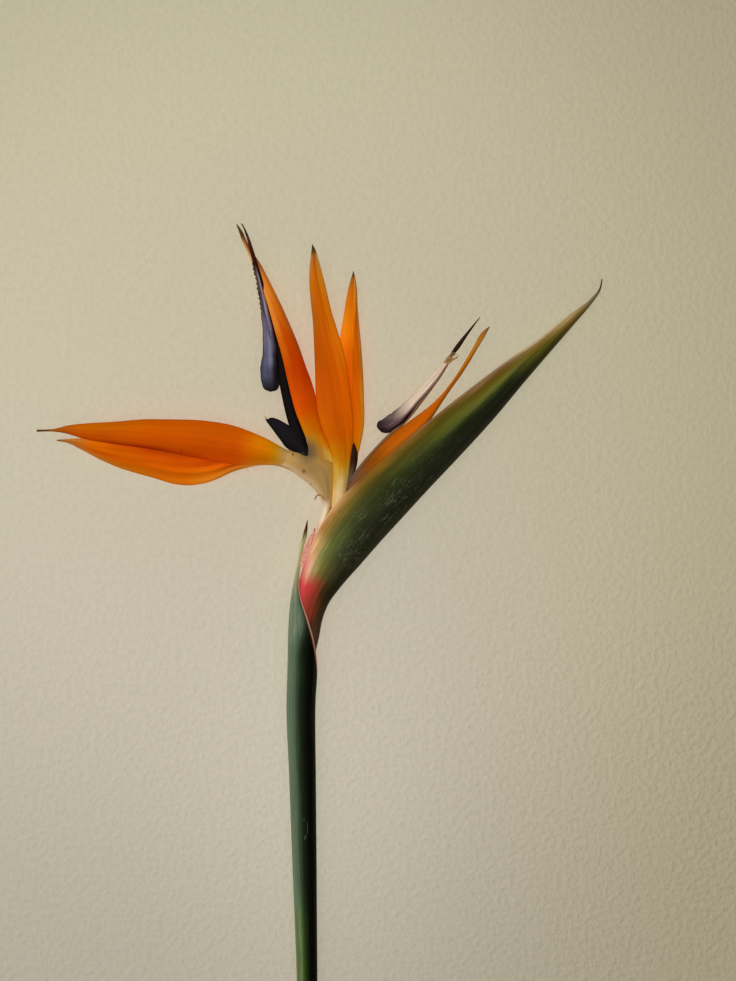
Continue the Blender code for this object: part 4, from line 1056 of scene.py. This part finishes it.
def flower_2_tongue(finish):
    """Second tongue, its lobes lying over a thin shaft that leaves the spathe's mouth."""
    path = [(13.4, 67.6, 1.0), (16.4, 72.4, 1.9), (19.3, 76.2, 2.4), (22.6, 79.9, 2.6), (25.8, 83.3, 2.5),
        (29.0, 86.3, 2.2), (32.6, 89.3, 1.6), (36.6, 93.6, 1.2), (42.0, 100.6, 1.1), (48.4, 109.4, 1.3),
        (52.4, 115.6, 1.5), (53.6, 117.2, 1.5)]
    radius = ((0.0, 1.0), (0.12, 0.6), (0.35, 0.55), (0.5, 0.7), (0.9, 0.8), (1.0, 0.5))
    shaft = rod(path, radius, 0.8, 120, 24)
    shaft.marks["shaft"] = np.ones(len(shaft.points))
    keel = [(24.2, 88.2), (25.4, 87.1), (27.6, 86.7), (30.6, 87.7), (33.4, 89.6), (36.9, 93.8),
        (40.4, 98.7), (45.3, 104.3), (48.8, 109.2), (51.6, 113.8), (53.9, 116.6)]
    edge = [(23.4, 89.4), (23.8, 90.9), (26.0, 92.4), (30.6, 95.6), (36.6, 100.4), (40.8, 104.2),
        (45.6, 109.8), (49.6, 114.0), (52.6, 117.2)]

    def rim(t, q):
        """Dark round the barbs' ends, along the torn edge and along the keel's lower half."""
        return np.maximum.reduce([rise(0.93, 0.985, np.abs(q)) * rise(0.6, 0.4, t) * 0.7,
                                  rise(0.20, 0.05, t) * 0.95,
                                  rise(0.48, 0.34, np.abs(q)) * rise(0.62, 0.3, t)])

    def bruise(t, q):
        """Bruised beside the keel, and all over towards the foot."""
        return np.clip(rise(0.60, 0.34, np.abs(q)) * rise(1.0, 0.6, t) * 0.7 + rise(0.46, 0.16, t), 0, 1)

    relief = lambda t, q: 0.15 * np.sin(np.abs(q) * 14 + t * 2) + 0.12 * waves(q * 6 + t * 9, 83)
    torn = lambda t, q: 0.10 * waves(t * 60, 85) * np.abs(q) ** 6
    half_width = ((0.0, 0.7), (0.08, 1.8), (0.3, 2.7), (0.7, 2.0), (1.0, 0.6))
    mouth, rest = ((0.0, 130.0), (1.0, 120.0)), ((0.0, 0.9), (1.0, 1.4))
    marks = {"rim": rim, "bruise": bruise}
    lobes = trough(keel, edge, half_width, mouth, 0.4, rest, 200, 27, relief, marks, torn)
    piece("flower_2_tongue", finish, "petal_pale", shaft, lobes)


def flower_2_hood_petal(finish):
    """Small dark third petal of the inner flower, between its sepals and the spathe."""
    left = [(10.4, 62.6), (11.2, 66.0), (11.9, 70.0), (12.6, 74.8), (13.0, 79.0), (14.2, 83.0)]
    right = [(12.0, 62.6), (13.4, 66.4), (14.9, 71.4), (15.8, 75.0), (15.8, 79.2), (14.5, 83.0)]
    height, crown = ((0.0, 0.0), (1.0, 0.4)), ((0.0, 0.2), (0.5, 0.9), (1.0, 0.0))
    thick = ((0.0, 0.8), (1.0, 0.4))
    marks = {"rim": rim_mark(0.1, 0.4, 1.0), "foot": lambda t, s: rise(0.66, 0.26, t) * 0.85}
    shell = blade(left, right, (height, height), crown, thick, 90, 25, marks=marks)
    piece("flower_2_hood_petal", finish, "petal_ink", shell)


def flower_2_stigma(finish):
    """Dark spindle beyond the tongue: widest near its foot, drawn out to a fine point."""
    path = [(52.4, 116.6, 1.6), (54.0, 118.8, 1.6), (55.8, 121.2, 1.6), (58.4, 124.8, 1.8),
        (61.6, 129.0, 1.9), (64.7, 132.9, 2.0)]
    radius = ((0.0, 0.35), (0.14, 0.8), (0.3, 0.95), (0.6, 0.55), (1.0, 0.14))
    piece("flower_2_stigma", finish, "petal_ink", rod(path, radius, 0.9, 70, 20))


def straw_finish():
    """Dry straw-coloured tissue with brown flecks."""
    f = Finish("dry_straw", 0.75, 0.2)
    fleck = f.noise(f.object, 1400.0, 4.0, 0.7)
    skin = f.ramp(fleck, ((0.3, 96, 66, 34), (0.55, 158, 122, 70), (0.8, 200, 174, 124)))
    return f.paint(skin, None, fleck, 0.5, 0.0002)


def flower_2_anthers(finish):
    """Frayed anther tips: three short threads that curl out of the tongue's end."""
    threads = (
        [(50.6, 114.6, 2.5), (51.8, 116.6, 2.9), (53.0, 118.0, 3.1), (54.4, 119.0, 3.2)],
        [(51.8, 114.4, 2.4), (53.4, 115.8, 2.8), (55.0, 116.6, 3.0), (56.4, 117.8, 2.9)],
        [(51.2, 114.8, 2.6), (52.6, 116.2, 3.1), (54.0, 117.6, 3.3), (55.6, 118.2, 3.4)],
    )
    shells = [rod(path, ((0.0, 0.5), (0.6, 0.36), (1.0, 0.10)), 0.7, 20, 10) for path in threads]
    piece("flower_2_anthers", finish, "dry_straw", *shells)


# ---------------------------------------------------------------- small bracts

def membrane_finish():
    """Speckled pink skin, paler at its rim and brown at its thread."""
    f = Finish("membrane", 0.55, 0.35)
    fleck = f.noise(f.object, 900.0, 4.0, 0.7)
    skin = f.ramp(fleck, ((0.3, 190, 104, 92), (0.5, 208, 140, 122), (0.75, 216, 176, 152)))
    skin = f.over(skin, (196, 150, 112), f.mark("rim"), 0.6)
    skin = f.over(skin, (150, 92, 60), f.band(f.along, 0.9, 0.97))
    return f.paint(skin, None, fleck, 0.4)


def mouth_bract():
    """Membrane at the foot of the mouth, drawn up to a dark thread."""
    left = [(-7.6, 34.0), (-6.2, 38.2), (-5.2, 41.4), (-3.6, 44.6), (-2.2, 47.0), (-1.4, 48.9)]
    right = [(-5.6, 33.0), (-4.0, 37.6), (-2.6, 41.0), (-1.5, 44.4), (-1.0, 46.8), (-1.1, 48.9)]
    heights = (((0.0, 2.6), (1.0, 2.4)), ((0.0, 3.4), (1.0, 2.4)))
    crown, thick = ((0.0, 0.3), (1.0, 0.0)), ((0.0, 0.5), (1.0, 0.25))
    ragged = lambda t, s: 0.25 * waves(t * 40, 91) * np.abs(s) + 0.2 * waves(s * 5 + t * 8, 93)
    marks = {"rim": rim_mark(0.2, 0.1, 1.0)}
    shell = blade(left, right, heights, crown, thick, 90, 25, relief=ragged, marks=marks)
    piece("mouth_bract", membrane_finish(), "bract_pink", shell)


def dry_bract(finish):
    """Dry curl left on the outer flower's foot."""
    path = [(-1.2, 60.2, 2.6), (-0.8, 61.2, 3.2), (0.0, 61.9, 3.9), (1.0, 61.9, 4.2), (2.0, 61.2, 4.3),
        (2.8, 60.0, 3.6)]
    shell = rod(path, ((0.0, 0.22), (0.4, 0.34), (1.0, 0.18)), 0.8, 40, 14)
    piece("dry_bract", finish, "dry_straw", shell)


# ---------------------------------------------------------------- stage, light, camera

VIEW_MIDDLE = (20.0, 63.8)              # point of the drawing under the camera
VIEW_HEIGHT = 392.4                     # height of the drawing that the frame takes in
LENS, SENSOR = 85.0, 36.0
TABLE_HALF = 3.0                        # half a side of the table, metres
WINDOW_POWER, CEILING_POWER, ROOM_STRENGTH = 12.6, 7.0, 0.07


def stage():
    """Pale warm-grey table top, a square wide enough to fill every view: brightest round the flower and
    beside the stem, where pools of light are painted on it, yellower and, by painted shade, a little
    darker to the right and towards the tips' end, with the tooth of rolled paint, coarser at the lower
    right."""
    f = Finish("table_paint", 0.85, 0.1)
    grain = f.noise(f.object, 430.0, 3.0, 0.5)
    coarse = f.times(f.uneven((f.level(20.0, 160.0, 0), 0.5)), f.uneven((f.level(80.0, -60.0), 0.6)))
    shade = f.mix(f.level(-40.0, 260.0), colour(196, 188, 168), colour(194, 187, 158))
    # yellower to the right, and a little darker there by painted shade
    shade = f.over(shade, (190, 180, 150), f.level(10.0, 170.0, 0))
    # painted pools of light: a broad one round the flower and a smaller one beside the stem
    painted_light_pool = f.band(f.near(0.0, 100.0, 340.0), 0.0, 0.75, 0.82, 1.02)
    painted_light_pool = f.math("ADD", painted_light_pool, f.times(f.near(-4.0, -80.0, 80.0, 2.0), 0.07))
    shade = f.scaled(shade, f.times(f.uneven((grain, 0.14)), painted_light_pool))
    finish = f.paint(shade, None, f.times(grain, coarse), 0.48, 0.0014)
    mesh = bpy.data.meshes.new("table_top")
    corners = TABLE_HALF * np.array([(-1, -1, 0), (1, -1, 0), (1, 1, 0), (-1, 1, 0)])
    mesh.from_pydata(corners.tolist(), [], [(0, 1, 2, 3)])
    mesh.materials.append(finish)
    table = bpy.data.objects.new("table_top", mesh)
    bpy.context.scene.collection.objects.link(table)


def area_light(name, place, aim, size, power, tint):
    """Square soft light at a place, turned to aim. It throws no shadows, as the light of many lamps
    together throws none."""
    data = bpy.data.lights.new(name, "AREA")
    data.shape, data.size, data.energy, data.color = "SQUARE", size, power, tint
    data.use_shadow = False
    light = bpy.data.objects.new(name, data)
    light.location = place
    light.rotation_euler = (Vector(aim) - Vector(place)).to_track_quat("-Z", "Y").to_euler()
    bpy.context.scene.collection.objects.link(light)


def lights():
    """Soft window light from the upper left, a broad ceiling light, and a dim pale room all round."""
    area_light("window", (-0.62, 0.22, 1.15), (-0.05, 0.0, 0.0), 1.2, WINDOW_POWER, (1.0, 0.99, 0.965))
    area_light("ceiling", (0.0, 0.0, 1.5), (0.0, 0.0, 0.0), 1.6, CEILING_POWER, (0.94, 0.96, 1.0))
    world = bpy.data.worlds.new("room")
    bpy.context.scene.world = world
    world.use_nodes = True
    world.node_tree.nodes["Background"].inputs["Color"].default_value = (0.93, 0.95, 1.0, 1.0)
    world.node_tree.nodes["Background"].inputs["Strength"].default_value = ROOM_STRENGTH
    bpy.context.scene.view_settings.view_transform = "Standard"


def camera():
    """Camera straight above, far enough for a long lens to take in the frame's height at the
    flower's plane of symmetry."""
    data = bpy.data.cameras.new("camera")
    data.lens, data.sensor_width = LENS, SENSOR
    made = bpy.data.objects.new("camera", data)
    x, y = (np.array(VIEW_MIDDLE) + ZERO[:2]) * MM
    made.location = (x, y, (ZERO[2] + LENS * VIEW_HEIGHT / SENSOR) * MM)
    bpy.context.scene.collection.objects.link(made)
    bpy.context.scene.camera = made


def main():
    """Makes every piece, then the table, the lights and the camera."""
    stem()
    stem_sheath()
    spathe()
    cream, straw = cream_finish(), straw_finish()
    ink, brown_ink = ink_finish("ink_skin", INK), ink_finish("brown_ink_skin", BROWN_INK)
    flower_1_tube(cream)
    flower_1_sepal_front(sepal_finish("sepal_front", FRONT_ROWS, 0.945, ((-54.4, 79.4, 0.3, 5.0),), 0.85))
    flower_1_sepal_rear(sepal_finish("sepal_rear", REAR_ROWS))
    flower_1_sepal_upright(sepal_finish("sepal_upright", UPRIGHT_ROWS, 0.93, foot_shade=0.85))
    flower_1_tongue(slate_finish())
    flower_1_hood_petal(ink)
    flower_1_stigma(ink)
    flower_2_tube(cream)
    flower_2_sepal_front(sepal_finish("sepal_tall", TALL_ROWS, 0.955))
    flower_2_sepal_rear(sepal_finish("sepal_folded", FOLDED_ROWS, 0.965))
    flower_2_sepal_low(sepal_finish("sepal_low", LOW_ROWS))
    flower_2_tongue(pale_finish())
    flower_2_hood_petal(brown_ink)
    flower_2_stigma(brown_ink)
    flower_2_anthers(straw)
    mouth_bract()
    dry_bract(straw)
    stage()
    lights()
    camera()


main()
